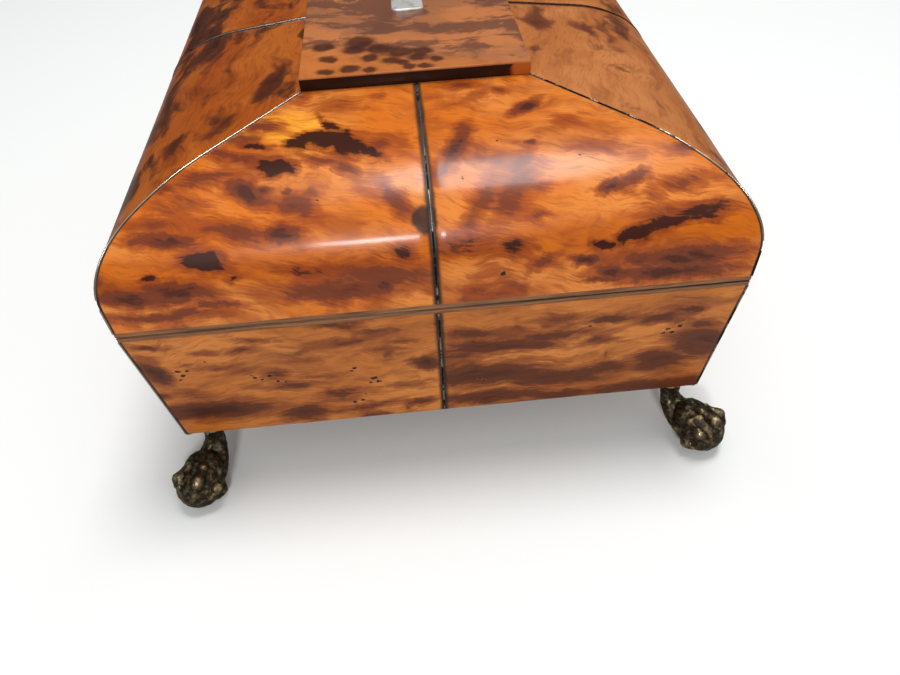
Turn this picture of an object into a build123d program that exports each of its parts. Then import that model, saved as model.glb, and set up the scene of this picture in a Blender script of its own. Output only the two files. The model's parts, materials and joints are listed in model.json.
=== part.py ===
from build123d import *
import os
from collections import namedtuple
from math import atan, cos, pi, radians, sin, sqrt, tan

# Antique tortoiseshell sewing box on claw-and-ball feet, in millimetres.
# +X runs along the box, -Y is the front with the lock, +Y the back with the hinges, +Z is up,
# and the origin is on the floor under the middle of the box.

# Driving dimensions of the box
joint_width = 200.0
joint_length = 248.0
base_height = 57.6
base_draw_in = 4.1
base_edge_round = 3.0
foot_height = 22.4
joint_gap = 0.4

# Section of the lid: a short upright wall, a shoulder, a wider arc and a sloping crown
lid_wall_rise = 12.0
shoulder_radius = 25.8
shoulder_turn = 62.0
crown_radius = 56.0
crown_slope = 6.5

# Walls: shell veneer over softwood boards, faced at the joint with a pale strip
shell_thickness = 1.2
board_thickness = 6.8
lining_thickness = 0.5
bottom_thickness = 6.0
edging_height = 1.8
stringing_width = 1.5
mitre_string_width = 1.0
lid_board_rise = 31.0

# Raised tablet and its plaque
tablet_width = 76.0
tablet_rise = 4.6
plaque_length = 26.0
plaque_width = 12.0
plaque_corner = 2.2
plaque_thickness = 1.0
plaque_let_in = 0.5
plaque_bevel = 0.35

# Feet, each cast in one with its stem, paw, claws and ball; each points out at its own heading
foot_inset_x = 4.4
foot_inset_y = 7.8
foot_reach = 17.4
foot_headings = {"back_right": 38.0, "back_left": 146.0, "front_right": -21.0, "front_left": 210.0}
stem_width = 8.0
stem_depth = 6.8
stem_facets = 12
ball_radius = 8.3
ball_flat_depth = 0.5
ball_facets = 16
ball_bands = 8
ball_cap_angle = 12.0
toe_radius = 1.6
toe_seat = 0.4
toe_facets = 6
knuckle_radius = 2.2
claw_radius = 1.3
toe_start = 25.0
knuckle_angles = (50.0, 86.0)
front_toe_end = 122.0
front_toe_fan = 52.0
thumb_fan = 108.0
thumb_end = 112.0
pole_tilt = 24.0
stud_radius = 2.5
stud_length = 5.0
stud_clearance = 0.02

# Hinges: butt hinges let into the rim at the back
hinge_spacing = 140.0
knuckle_length = 9.0
knuckle_count = 3
barrel_radius = 1.9
hinge_pin_radius = 0.8
pin_clearance = 0.04
barrel_stand_off = 0.4
knuckle_gap = 0.2
leaf_depth = 7.5
let_in_gap = 0.1

# Wood screws
screw_radius = 1.0
screw_head_radius = 2.0
screw_head_height = 1.0
screw_length = 8.0
screw_spacing = 9.0
screw_set_back = 0.2
screw_facets = 8

# Lock in the middle of the front, with a link plate on the lid
lock_length = 40.0
lock_depth = 6.0
lock_height = 20.0
lock_wall = 0.9
lock_let_in = 0.1
selvedge_length = 46.0
selvedge_margin = 2.5
lock_screw_offset = 20.5
loop_thickness = 2.0
loop_width = 3.4
loop_drop = 7.6
loop_offset = 9.0
loop_clearance = 0.4
loop_sill = 0.8
bolt_thickness = 1.4
bolt_bar_height = 2.6
bolt_finger_height = 2.0
bolt_finger_length = 4.0
bolt_post_width = 2.0
bolt_rest_gap = 0.6
bolt_clearance = 0.3
keyhole_radius = 1.7
keyhole_slot_width = 1.6
keyhole_slot_drop = 4.6
keyhole_below_rim = 16.0
escutcheon_width = 9.0
escutcheon_height = 13.0

# Tray, which stands on ledges inside the base
tray_seat_rise = 28.6
tray_height = 26.0
tray_clearance = 1.0
tray_wall = 3.0
tray_floor = 2.5
divider_thickness = 2.0
ledge_width = 4.0
ledge_height = 5.0
end_column_width = 56.0
cover_row_width = 52.0
reel_row_width = 30.0
cushion_row_width = 66.0

# Lift-off compartment covers
cover_clearance = 0.4
cover_thickness = 2.5
cover_sink = 0.5
cover_rest_width = 2.0
cover_rest_height = 2.0
cover_pad_margin = 2.0
cover_pad_edge = 1.2
cover_pad_crown = 1.2
knob_radius = 3.6
knob_stem_radius = 1.6
knob_stem_rise = 2.6
knob_tenon_radius = 1.0
knob_hole_facets = 8

# Turned reels on spindles
reel_count = 4
reel_spacing = 26.0
reel_radius = 10.5
reel_waist = 5.0
reel_height = 18.0
reel_rim = 2.2
spindle_radius = 1.5
spindle_stand = 3.0
spindle_clearance = 0.05

# Soft pieces
soft_gap = 0.3
cushion_edge = 19.0
cushion_crown = 6.0
side_draw = 1.5
crown_steps = ((0.9, 0.45), (0.76, 0.8), (0.5, 1.0))
silk_pad_margin = 5.0
silk_pad_edge = 3.0
silk_pad_crown = 4.5

# Values that follow from the driving dimensions
x_half = joint_length / 2
y_half = joint_width / 2
tablet_y_half = tablet_width / 2
tablet_x_half = tablet_y_half + x_half - y_half
joint_z = foot_height + base_height
rim_z = joint_z - joint_gap / 2
lid_z = joint_z + joint_gap / 2
base_edging_z = rim_z - edging_height
lid_edging_z = lid_z + edging_height
lid_board_z = joint_z + lid_board_rise
floor_z = foot_height + bottom_thickness
wall_inset = shell_thickness + board_thickness
lining_inset = wall_inset + lining_thickness
base_lean = atan(base_draw_in / base_height)
clear = 5.0
overlap = 1.0

# Each side seen in section: out is the distance from the middle, along runs to the front right corner
Side = namedtuple("Side", "plane half other tablet plan")
FRONT_PLANE = Plane(origin=(0, 0, 0), x_dir=(0, -1, 0), z_dir=(-1, 0, 0))
RIGHT_PLANE = Plane(origin=(0, 0, 0), x_dir=(1, 0, 0), z_dir=(0, -1, 0))
front = Side(FRONT_PLANE, y_half, x_half, tablet_y_half, lambda along, out: (along, -out))
right = Side(RIGHT_PLANE, x_half, y_half, tablet_x_half, lambda along, out: (out, -along))

os.makedirs("parts", exist_ok=True)


def save(name, *shapes):
    """Writes one sub-part, which may be several separate solids."""
    solids = [solid for shape in shapes for solid in shape.solids()]
    whole = Compound(solids) if len(solids) > 1 else solids[0]
    export_step(whole, f"parts/{name}.step")


def flip_x(shape):
    return mirror(shape, about=Plane.YZ)


def flip_y(shape):
    return mirror(shape, about=Plane.XZ)


def block(x_low, x_high, y_low, y_high, z_low, z_high):
    """A box between two corners."""
    size = (x_high - x_low, y_high - y_low, z_high - z_low)
    middle = ((x_high + x_low) / 2, (y_high + y_low) / 2, (z_high + z_low) / 2)
    return Pos(*middle) * Box(*size)


def rod(radius, start, end):
    """A round bar between two points."""
    run = Vector(*end) - Vector(*start)
    return extrude(Plane(origin=start, z_dir=run) * Circle(radius), amount=run.length)


def prism(points, z_low, z_high):
    """A plan outline carried up from one height to another."""
    outline = make_face(Polyline(*points, close=True))
    return extrude(Pos(0, 0, z_low) * outline, amount=z_high - z_low)


def along_side(side, section):
    """A section carried along the whole of a side."""
    return extrude(side.plane * section, amount=side.other + clear, both=True)


def wedge(side, start, margin, z_low, z_high):
    """Plan of half a side, from start to the mitre less a margin along the side."""
    near = side.tablet - overlap
    far = side.half + clear
    lean = side.other - side.half
    points = [
        (start, near),
        (start, far),
        (far + lean - margin, far),
        (near + lean - margin, near),
    ]
    return prism([side.plan(*point) for point in points], z_low, z_high)


def whole_wedge(side, z_low, z_high):
    """Plan of a whole side, mitred at both ends."""
    near = side.tablet - overlap
    far = side.half + clear
    lean = side.other - side.half
    points = [
        (-near - lean, near),
        (-far - lean, far),
        (far + lean, far),
        (near + lean, near),
    ]
    return prism([side.plan(*point) for point in points], z_low, z_high)


def mitre_strip(side, z_low, z_high):
    """Plan of the half of a mitre's stringing that lies on this side."""
    near = side.tablet - overlap
    far = side.half + clear
    lean = side.other - side.half
    margin = mitre_string_width / sqrt(2)
    points = [
        (near + lean - margin, near),
        (far + lean - margin, far),
        (far + lean, far),
        (near + lean, near),
    ]
    return prism([side.plan(*point) for point in points], z_low, z_high)


def lid_centres(half):
    """Centres of the shoulder arc and of the crown arc, as distance out and height."""
    turn = radians(shoulder_turn)
    step = crown_radius - shoulder_radius
    shoulder = Vector(half - shoulder_radius, joint_z + lid_wall_rise)
    crown = shoulder - Vector(step * cos(turn), step * sin(turn))
    return shoulder, crown


def lid_outline(side, inset, z_low):
    """The lid's section at a depth below its surface, from the joint up to the tablet."""
    shoulder, crown = lid_centres(side.half)
    turn = radians(shoulder_turn)
    top = radians(90 - crown_slope)

    def on_arc(centre, radius, angle):
        return (centre.X + (radius - inset) * cos(angle), centre.Y + (radius - inset) * sin(angle))

    foot = (side.half - inset, z_low)
    wall_top = (side.half - inset, shoulder.Y)
    turned = on_arc(shoulder, shoulder_radius, turn)
    level = on_arc(crown, crown_radius, top)
    end = (side.tablet, level[1] + (level[0] - side.tablet) * tan(radians(crown_slope)))
    return [
        Line(foot, wall_top),
        ThreePointArc(wall_top, on_arc(shoulder, shoulder_radius, turn / 2), turned),
        ThreePointArc(turned, on_arc(crown, crown_radius, (turn + top) / 2), level),
        Line(level, end),
    ]


def tablet_seat_z(inset):
    """Height of the lid's section where it meets the tablet."""
    return (lid_outline(front, inset, lid_edging_z)[-1] @ 1).Y


def lid_reach(side, z, inset):
    """Distance out of the lid's section at a height above the joint."""
    shoulder, crown = lid_centres(side.half)
    if z <= shoulder.Y:
        return side.half - inset
    radius = shoulder_radius - inset
    if z <= shoulder.Y + radius * sin(radians(shoulder_turn)):
        return shoulder.X + sqrt(radius**2 - (z - shoulder.Y) ** 2)
    radius = crown_radius - inset
    return crown.X + sqrt(radius**2 - (z - crown.Y) ** 2)


def lid_band(side, outer, inner, z_low):
    """The lid's section between two depths."""
    outside = lid_outline(side, outer, z_low)
    inside = lid_outline(side, inner, z_low)
    ends = [Line(outside[-1] @ 1, inside[-1] @ 1), Line(inside[0] @ 0, outside[0] @ 0)]
    return make_face(outside + inside + ends)


def lid_block(inset, z_low):
    """Everything inside the lid's surface at a depth below it."""
    solids = []
    for side in (front, right):
        edges = lid_outline(side, inset, z_low)
        top_z = (edges[-1] @ 1).Y
        edges.append(Line(edges[-1] @ 1, (0, top_z)))
        edges.append(Line((0, top_z), (0, z_low)))
        edges.append(Line((0, z_low), edges[0] @ 0))
        half = make_face(edges)
        solids.append(along_side(side, half + mirror(half, about=Plane.YZ)))
    return solids[0] & solids[1]


def base_reach(side, z, inset):
    """Distance out of the base's sloping side at a height, at a depth below its surface."""
    return side.half - base_draw_in * (joint_z - z) / base_height - inset / cos(base_lean)


def base_band(side, outer, inner, z_low, z_high):
    """The base's section between two depths and two heights."""
    points = [
        (base_reach(side, z_low, outer), z_low),
        (base_reach(side, z_high, outer), z_high),
        (base_reach(side, z_high, inner), z_high),
        (base_reach(side, z_low, inner), z_low),
    ]
    return make_face(Polyline(*points, close=True))


def base_edge_cutter(side):
    """What the rounding takes off the bottom edge of one side."""
    tangent = base_edge_round * tan((radians(90) - base_lean) / 2)
    corner = Vector(base_reach(side, foot_height, 0), foot_height)
    under = corner - Vector(tangent, 0)
    wall = corner + Vector(tangent * sin(base_lean), tangent * cos(base_lean))
    centre = under + Vector(0, base_edge_round)
    middle = centre + (corner - centre).normalized() * base_edge_round
    low = Vector(0, overlap)
    wide = Vector(clear, 0)
    edges = [
        Line(under, under - low),
        Line(under - low, corner - low + wide),
        Line(corner - low + wide, wall + wide),
        Line(wall + wide, wall),
        ThreePointArc(wall, middle, under),
    ]
    return along_side(side, make_face(edges))


def screw(at, down):
    """A countersunk wood screw with its head's face at a point, pointing up or down."""
    turn = Rot(180, 0, 0) if down else Rot(0, 0, 0)
    face = RegularPolygon(screw_head_radius, screw_facets)
    neck = RegularPolygon(screw_radius, screw_facets)
    head = loft([face, Pos(0, 0, screw_head_height) * neck], ruled=True)
    return Pos(*at) * turn * (head + extrude(neck, amount=screw_length))


def pillow_outline(length, width, share):
    """A rectangle whose four sides are drawn in at their middles, as a share of its full size."""
    x = length / 2
    y = width / 2
    corners = [(-x, -y), (x, -y), (x, y), (-x, y)]
    middles = [(0, side_draw - y), (x - side_draw, 0), (0, y - side_draw), (side_draw - x, 0)]
    points = [Vector(*point) * share for pair in zip(corners, middles) for point in pair]
    return make_face(Polyline(*points, close=True))


def soft_block(length, width, edge, crown):
    """A cushion standing on the plan's middle, with drawn-in sides and a crown that rises in steps."""
    below = pillow_outline(length, width, 1)
    solid = extrude(below, amount=edge)
    below = Pos(0, 0, edge) * below
    for share, rise in crown_steps:
        above = Pos(0, 0, edge + crown * rise) * pillow_outline(length, width, share)
        solid += loft([below, above], ruled=True)
        below = above
    return solid


# Hinges

hinge_axis_y = y_half + barrel_stand_off + barrel_radius
leaf_length = knuckle_count * knuckle_length


def hinge_pocket(x, z_low, z_high):
    """Room for one leaf in the rim."""
    half = leaf_length / 2 + let_in_gap
    return block(x - half, x + half, y_half - leaf_depth - let_in_gap, y_half + clear, z_low, z_high)


def hinge_screws(x, lid_side):
    """The three screws of one leaf."""
    z = lid_z if lid_side else rim_z
    y = y_half - leaf_depth / 2 - screw_set_back
    return [screw((x + step * screw_spacing, y, z), not lid_side) for step in (-1, 0, 1)]


def hinge_leaf(x, lid_side):
    """One leaf with its own knuckles: the base has the two outer ones, the lid the middle one."""
    z_low, z_high = (lid_z, lid_edging_z) if lid_side else (base_edging_z, rim_z)
    start = x - leaf_length / 2
    plate_end = hinge_axis_y - barrel_radius - knuckle_gap
    leaf = block(start, start + leaf_length, y_half - leaf_depth, plate_end, z_low, z_high)
    for n in range(knuckle_count):
        if (n % 2 == 1) == lid_side:
            low = start + n * knuckle_length + knuckle_gap / 2
            high = low + knuckle_length - knuckle_gap
            leaf += block(low, high, plate_end, hinge_axis_y, z_low, z_high)
            leaf += rod(barrel_radius, (low, hinge_axis_y, joint_z), (high, hinge_axis_y, joint_z))
    bore = hinge_pin_radius + pin_clearance
    end = start + leaf_length
    leaf -= rod(bore, (start - overlap, hinge_axis_y, joint_z), (end + overlap, hinge_axis_y, joint_z))
    for each in hinge_screws(x, lid_side):
        leaf -= each
    return leaf


def hinge_pin(x):
    """The pin, as long as the barrel."""
    half = leaf_length / 2
    return rod(hinge_pin_radius, (x - half, hinge_axis_y, joint_z), (x + half, hinge_axis_y, joint_z))


hinge_places = (-hinge_spacing / 2, hinge_spacing / 2)


# Lock

lock_back_y = -(base_reach(front, rim_z - lock_height, wall_inset) - lock_let_in)
lock_front_y = lock_back_y - lock_depth
lock_middle_y = (lock_back_y + lock_front_y) / 2
selvedge_front_y = -(y_half - selvedge_margin)
selvedge_back_y = -(y_half - wall_inset)
case_top_z = base_edging_z
case_low_z = rim_z - lock_height
loop_low_z = lid_z - loop_drop
window_low_z = loop_low_z + loop_sill
window_high_z = window_low_z + bolt_finger_height + 2 * bolt_clearance
finger_low_z = window_low_z + bolt_clearance
bar_high_z = loop_low_z - bolt_rest_gap
bar_low_z = bar_high_z - bolt_bar_height
keyhole_z = rim_z - keyhole_below_rim


def loop_places():
    return (-loop_offset, loop_offset)


def selvedge(z_low, z_high, gap):
    """The strip of brass that faces the rim over the lock, or the plate above it on the lid."""
    half = selvedge_length / 2 + gap
    return block(-half, half, selvedge_front_y - gap, selvedge_back_y + clear * (gap > 0), z_low, z_high)


def lock_pocket(gap):
    """Room for the lock's case in the front of the base."""
    half = lock_length / 2 + gap
    return block(-half, half, lock_front_y - gap, lock_back_y + clear, case_low_z - gap, case_top_z)


def lock_screws(lid_side):
    """Two screws through the ends of the selvedge or of the link plate."""
    z = lid_z if lid_side else rim_z
    y = (selvedge_front_y + selvedge_back_y) / 2
    return [screw((x, y, z), not lid_side) for x in (-lock_screw_offset, lock_screw_offset)]


def keyhole(y_low, y_high):
    """A round hole with a slot below it, through the front."""
    hole = rod(keyhole_radius, (0, y_low, keyhole_z), (0, y_high, keyhole_z))
    half = keyhole_slot_width / 2
    return hole + block(-half, half, y_low, y_high, keyhole_z - keyhole_slot_drop, keyhole_z)


def lock_case():
    """The closed case under its selvedge, with slots for the loops and a room for the bolt."""
    half = lock_length / 2
    case = block(-half, half, lock_front_y, lock_back_y, case_low_z, case_top_z)
    case += selvedge(case_top_z, rim_z, 0)
    room = half - lock_wall
    y_low = lock_front_y + lock_wall
    y_high = lock_back_y - lock_wall
    case -= block(-room, room, y_low, y_high, case_low_z + lock_wall, case_top_z)
    slot = loop_thickness / 2 + loop_clearance
    for x in loop_places():
        case -= block(x - slot, x + slot, y_low, y_high, case_top_z, rim_z)
    case -= keyhole(lock_front_y - overlap, y_low + overlap)
    for each in lock_screws(False):
        case -= each
    return case


def lock_bolt():
    """A sliding bar with two hooked fingers, drawn back clear of the loops."""
    y_low = lock_middle_y - bolt_thickness / 2
    y_high = lock_middle_y + bolt_thickness / 2
    tip = loop_thickness / 2 + bolt_rest_gap
    post = tip + bolt_finger_length
    last = loop_offset + post + bolt_post_width
    bolt = block(-loop_offset + post, last, y_low, y_high, bar_low_z, bar_high_z)
    for x in loop_places():
        high = finger_low_z + bolt_finger_height
        bolt += block(x + post, x + post + bolt_post_width, y_low, y_high, bar_low_z, high)
        bolt += block(x + tip, x + post, y_low, y_high, finger_low_z, high)
    return bolt


def link_plate():
    """The plate on the lid's rim, with two loops that drop into the lock."""
    plate = selvedge(lid_z, lid_edging_z, 0)
    y_low = lock_middle_y - loop_width / 2
    y_high = lock_middle_y + loop_width / 2
    window = bolt_thickness / 2 + bolt_clearance
    window_front_y = lock_middle_y - window
    window_back_y = lock_middle_y + window
    half = loop_thickness / 2
    for x in loop_places():
        loop = block(x - half, x + half, y_low, y_high, loop_low_z, lid_z)
        hole = block(x - clear, x + clear, window_front_y, window_back_y, window_low_z, window_high_z)
        plate += loop - hole
    for each in lock_screws(True):
        plate -= each
    return plate


def escutcheon_blank():
    """The oval round the keyhole, carried through the shell."""
    oval = Ellipse(escutcheon_width / 2, escutcheon_height / 2)
    middle_z = keyhole_z - keyhole_slot_drop / 4
    face = Plane(origin=(0, -y_half - clear, middle_z), z_dir=(0, 1, 0), x_dir=(1, 0, 0)) * oval
    return extrude(face, amount=clear + wall_inset)


def save_lock():
    save("lock_case", lock_case())
    save("lock_bolt", lock_bolt())
    save("lock_link_plate", link_plate())


def save_hinges():
    for name, x in zip(("left", "right"), hinge_places):
        save(f"{name}_hinge_base_leaf", hinge_leaf(x, False))
        save(f"{name}_hinge_lid_leaf", hinge_leaf(x, True))
    save("hinge_pins", *[hinge_pin(x) for x in hinge_places])
    base_screws = [each for x in hinge_places for each in hinge_screws(x, False)]
    lid_screws = [each for x in hinge_places for each in hinge_screws(x, True)]
    save("base_screws", *base_screws, *lock_screws(False))
    save("lid_screws", *lid_screws, *lock_screws(True))


# Base

def base_board(side):
    """One sloping board, mitred at both ends."""
    section = base_band(side, shell_thickness, wall_inset, floor_z, base_edging_z)
    return along_side(side, section) & whole_wedge(side, floor_z, base_edging_z)


def save_base_boards():
    board = base_board(front)
    back_board = flip_y(board)
    board -= lock_pocket(let_in_gap)
    board -= keyhole(-y_half, lock_front_y)
    for each in lock_screws(False):
        board -= each
    for x in hinge_places:
        for each in hinge_screws(x, False):
            back_board -= each
    end_board = base_board(right)
    save("base_front_board", board)
    save("base_back_board", back_board)
    save("base_right_board", end_board)
    save("base_left_board", flip_x(end_board))


def base_block(inset, z_low, z_high):
    """Everything inside the base's sloping sides between two heights."""
    solids = []
    for side in (front, right):
        low = base_reach(side, z_low, inset)
        high = base_reach(side, z_high, inset)
        points = [(-low, z_low), (low, z_low), (high, z_high), (-high, z_high)]
        solids.append(along_side(side, make_face(Polyline(*points, close=True))))
    return solids[0] & solids[1]


def save_bottom_board():
    board = base_block(shell_thickness, foot_height, floor_z)
    for side, flip in ((front, flip_y), (right, flip_x)):
        cutter = base_edge_cutter(side)
        board = board - cutter - flip(cutter)
    for place in foot_places().values():
        board -= foot_stud(place, stud_clearance)
    save("bottom_board", board)


def base_shell_half(side, start, margin):
    """Half of one side's veneer, from its middle seam to the corner."""
    section = base_band(side, 0, shell_thickness, foot_height, base_edging_z)
    shell = along_side(side, section) & wedge(side, start, margin, foot_height, base_edging_z)
    return shell - base_edge_cutter(side)


def save_base_shells():
    margin = mitre_string_width / sqrt(2)
    half_front = base_shell_half(front, stringing_width / 2, margin)
    half_right = base_shell_half(right, stringing_width / 2, margin)
    front_shells = [half_front - escutcheon_blank(), flip_x(half_front) - escutcheon_blank()]
    save("base_front_shell", *front_shells)
    save("base_back_shell", flip_y(half_front), flip_y(flip_x(half_front)))
    save("base_right_shell", half_right, flip_y(half_right))
    save("base_left_shell", flip_x(half_right), flip_x(flip_y(half_right)))


def base_corner_string():
    """The line of stringing at the front right corner."""
    string = None
    for side in (front, right):
        section = base_band(side, 0, shell_thickness, foot_height, base_edging_z)
        piece = along_side(side, section) & mitre_strip(side, foot_height, base_edging_z)
        piece -= base_edge_cutter(side)
        string = piece if string is None else string + piece
    return string


def base_seam_string(side):
    """The line of stringing in the middle of one side."""
    section = base_band(side, 0, shell_thickness, foot_height, base_edging_z)
    string = extrude(side.plane * section, amount=stringing_width / 2, both=True)
    return string - base_edge_cutter(side)


def save_base_stringing():
    corner = base_corner_string()
    front_seam = base_seam_string(front)
    right_seam = base_seam_string(right)
    lines = [corner, flip_x(corner), flip_y(corner), flip_x(flip_y(corner))]
    lines += [front_seam - escutcheon_blank(), flip_y(front_seam), right_seam, flip_x(right_seam)]
    save("base_stringing", *lines)


def save_escutcheon():
    section = base_band(front, 0, shell_thickness, foot_height, base_edging_z)
    plate = extrude(front.plane * section, amount=escutcheon_width, both=True) & escutcheon_blank()
    save("keyhole_escutcheon", plate - keyhole(-y_half - clear, lock_front_y))


def save_base_edging():
    """Pale strips that face the top of the four base walls."""
    strips = []
    for side, flip in ((front, flip_y), (right, flip_x)):
        section = base_band(side, 0, wall_inset, base_edging_z, rim_z)
        strip = along_side(side, section) & whole_wedge(side, base_edging_z, rim_z)
        strips += [strip, flip(strip)]
    strips[0] -= selvedge(base_edging_z, rim_z, let_in_gap)
    for x in hinge_places:
        strips[1] -= hinge_pocket(x, base_edging_z, rim_z)
    save("base_rim_edging", *strips)


def save_base_lining():
    """Paper on the inside of the four walls and on the floor."""
    sheets = []
    floor_top = floor_z + lining_thickness
    for side, flip in ((front, flip_y), (right, flip_x)):
        section = base_band(side, wall_inset, lining_inset, floor_top, base_edging_z)
        sheet = along_side(side, section) & whole_wedge(side, floor_top, base_edging_z)
        sheets += [sheet, flip(sheet)]
    sheets[0] -= lock_pocket(let_in_gap)
    sheets.append(base_block(wall_inset, floor_z, floor_top))
    save("base_lining", *sheets)


tray_seat_z = foot_height + tray_seat_rise


def save_ledges():
    """Strips glued inside the base, which the tray stands on."""
    ledges = []
    low = tray_seat_z - ledge_height
    for side, flip in ((front, flip_y), (right, flip_x)):
        section = base_band(side, lining_inset, lining_inset + ledge_width, low, tray_seat_z)
        ledge = along_side(side, section) & whole_wedge(side, low, tray_seat_z)
        ledges += [ledge, flip(ledge)]
    save("tray_ledges", *ledges)


# Feet

leg_x = base_reach(right, foot_height, 0) - foot_inset_x
leg_y = base_reach(front, foot_height, 0) - foot_inset_y
ball_z = ball_radius - ball_flat_depth


def foot_places():
    """Where each leg meets the bottom of the box."""
    return {
        "back_right": (leg_x, leg_y),
        "back_left": (-leg_x, leg_y),
        "front_right": (leg_x, -leg_y),
        "front_left": (-leg_x, -leg_y),
    }


def foot_stud(place, gap):
    """The stud cast on a foot, which goes up into the bottom board."""
    return rod(stud_radius + gap, (*place, foot_height), (*place, foot_height + stud_length + gap))


def ring(origin, across, heading, width, depth, facets):
    """An oval section with flat facets, square to its heading."""
    turns = [2 * pi * n / facets for n in range(facets)]
    points = [(width / 2 * cos(turn), depth / 2 * sin(turn)) for turn in turns]
    return Plane(origin=origin, x_dir=across, z_dir=heading) * make_face(Polyline(*points, close=True))


def foot_stem():
    """The stem that drops from the box, curves outwards and widens into the paw."""
    stations = [
        (0.0, foot_height, 0, stem_width, stem_depth),
        (0.0, foot_height * 0.72, 2, stem_width * 0.9, stem_depth * 0.92),
        (foot_reach * 0.13, foot_height * 0.5, 38, stem_width * 1.15, stem_depth),
        (foot_reach * 0.40, ball_z * 1.14, 70, stem_width * 1.75, ball_radius * 1.2),
        (foot_reach * 0.68, ball_z * 1.04, 86, stem_width * 2.1, ball_radius * 1.62),
    ]
    sections = []
    for out, z, lean, width, depth in stations:
        heading = (sin(radians(lean)), 0, -cos(radians(lean)))
        sections.append(ring((out, 0, z), (0, 1, 0), heading, width, depth, stem_facets))
    return loft(sections, ruled=True)


def foot_ball():
    """The ball, in level bands of flat facets."""
    sections = []
    for n in range(ball_bands + 1):
        angle = radians(ball_cap_angle + (180 - 2 * ball_cap_angle) * n / ball_bands)
        size = 2 * ball_radius * sin(angle)
        origin = (foot_reach, 0, ball_z - ball_radius * cos(angle))
        sections.append(ring(origin, (1, 0, 0), (0, 0, 1), size, size, ball_facets))
    return loft(sections, ruled=True)


def toe(fan, end):
    """One toe laid over the ball like a line of longitude, swelling at two knuckles, with a claw."""
    centre = Vector(foot_reach, 0, ball_z)
    pole = Vector(-cos(radians(pole_tilt)), 0, sin(radians(pole_tilt)))
    up = Vector(sin(radians(pole_tilt)), 0, cos(radians(pole_tilt)))
    towards = up * cos(radians(fan)) + Vector(0, 1, 0) * sin(radians(fan))
    axis = pole.cross(towards)
    reach = ball_radius + toe_seat
    first, second = knuckle_angles
    stations = [
        (toe_start, toe_radius * 0.7),
        (first - 12, toe_radius),
        (first, knuckle_radius),
        ((first + second) / 2, toe_radius),
        (second, knuckle_radius * 0.95),
        (second + (end - second) * 0.4, toe_radius),
        (end, claw_radius * 0.4),
    ]
    sections = []
    for angle, radius in stations:
        out = pole * cos(radians(angle)) + towards * sin(radians(angle))
        origin = centre + out * reach
        sections.append(ring(origin, axis, axis.cross(out), 2 * radius, 2 * radius, toe_facets))
    return loft(sections, ruled=True)


def foot():
    """A cast brass claw-and-ball foot that points along +X from its stem."""
    cast = foot_stem() + foot_ball()
    cast += toe(0, front_toe_end)
    for fan, end in ((front_toe_fan, front_toe_end), (thumb_fan, thumb_end)):
        side_toe = toe(fan, end)
        cast = cast + side_toe + flip_y(side_toe)
    cast += foot_stud((0, 0), 0)
    under = 2 * foot_reach
    return cast - block(-under, under, -under, under, -under, 0)


def save_feet():
    """The same casting four times, each pointing out from its corner."""
    cast = foot()
    for name, (x, y) in foot_places().items():
        save(f"foot_{name}", Pos(x, y, 0) * Rot(0, 0, foot_headings[name]) * cast)


# Lid

def save_lid_boards():
    """Four coved boards, mitred at the corners, and the board laid on top of them."""
    boards = []
    for side in (front, right):
        section = lid_band(side, shell_thickness, wall_inset, lid_edging_z)
        boards.append(along_side(side, section) & whole_wedge(side, lid_edging_z, lid_board_z))
    front_board, right_board = boards
    back_board = flip_y(front_board)
    for each in lock_screws(True):
        front_board -= each
    for x in hinge_places:
        for each in hinge_screws(x, True):
            back_board -= each
    save("lid_front_board", front_board)
    save("lid_back_board", back_board)
    save("lid_right_board", right_board)
    save("lid_left_board", flip_x(right_board))
    room = joint_length
    under = block(-room, room, -room, room, 0, lid_board_z)
    save("lid_top_board", lid_block(shell_thickness, joint_z) - under)


def lid_shell_half(side, start, margin):
    """Half of one side's veneer, from its middle seam to the mitre."""
    section = lid_band(side, 0, shell_thickness, lid_edging_z)
    return along_side(side, section) & wedge(side, start, margin, lid_edging_z, joint_z + joint_width)


def save_lid_shells():
    margin = mitre_string_width / sqrt(2)
    half_front = lid_shell_half(front, stringing_width / 2, margin)
    half_right = lid_shell_half(right, stringing_width / 2, margin)
    save("lid_front_shell", half_front, flip_x(half_front))
    save("lid_back_shell", flip_y(half_front), flip_y(flip_x(half_front)))
    save("lid_right_shell", half_right, flip_y(half_right))
    save("lid_left_shell", flip_x(half_right), flip_x(flip_y(half_right)))


def lid_mitre_string():
    """The line of stringing along the front right mitre."""
    string = None
    for side in (front, right):
        section = lid_band(side, 0, shell_thickness, lid_edging_z)
        piece = along_side(side, section) & mitre_strip(side, lid_edging_z, joint_z + joint_width)
        string = piece if string is None else string + piece
    return string


def save_lid_stringing():
    mitre = lid_mitre_string()
    seams = []
    for side in (front, right):
        section = lid_band(side, 0, shell_thickness, lid_edging_z)
        seams.append(extrude(side.plane * section, amount=stringing_width / 2, both=True))
    lines = [mitre, flip_x(mitre), flip_y(mitre), flip_x(flip_y(mitre))]
    lines += [seams[0], flip_y(seams[0]), seams[1], flip_x(seams[1])]
    save("lid_stringing", *lines)


def save_lid_edging():
    """Pale strips that face the underside of the four lid walls."""
    strips = []
    for side, flip in ((front, flip_y), (right, flip_x)):
        points = [(side.half, lid_z), (side.half, lid_edging_z)]
        points += [(side.half - wall_inset, lid_edging_z), (side.half - wall_inset, lid_z)]
        section = make_face(Polyline(*points, close=True))
        strip = along_side(side, section) & whole_wedge(side, lid_z, lid_edging_z)
        strips += [strip, flip(strip)]
    strips[0] -= selvedge(lid_z, lid_edging_z, let_in_gap)
    for x in hinge_places:
        strips[1] -= hinge_pocket(x, lid_z, lid_edging_z)
    save("lid_rim_edging", *strips)


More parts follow.
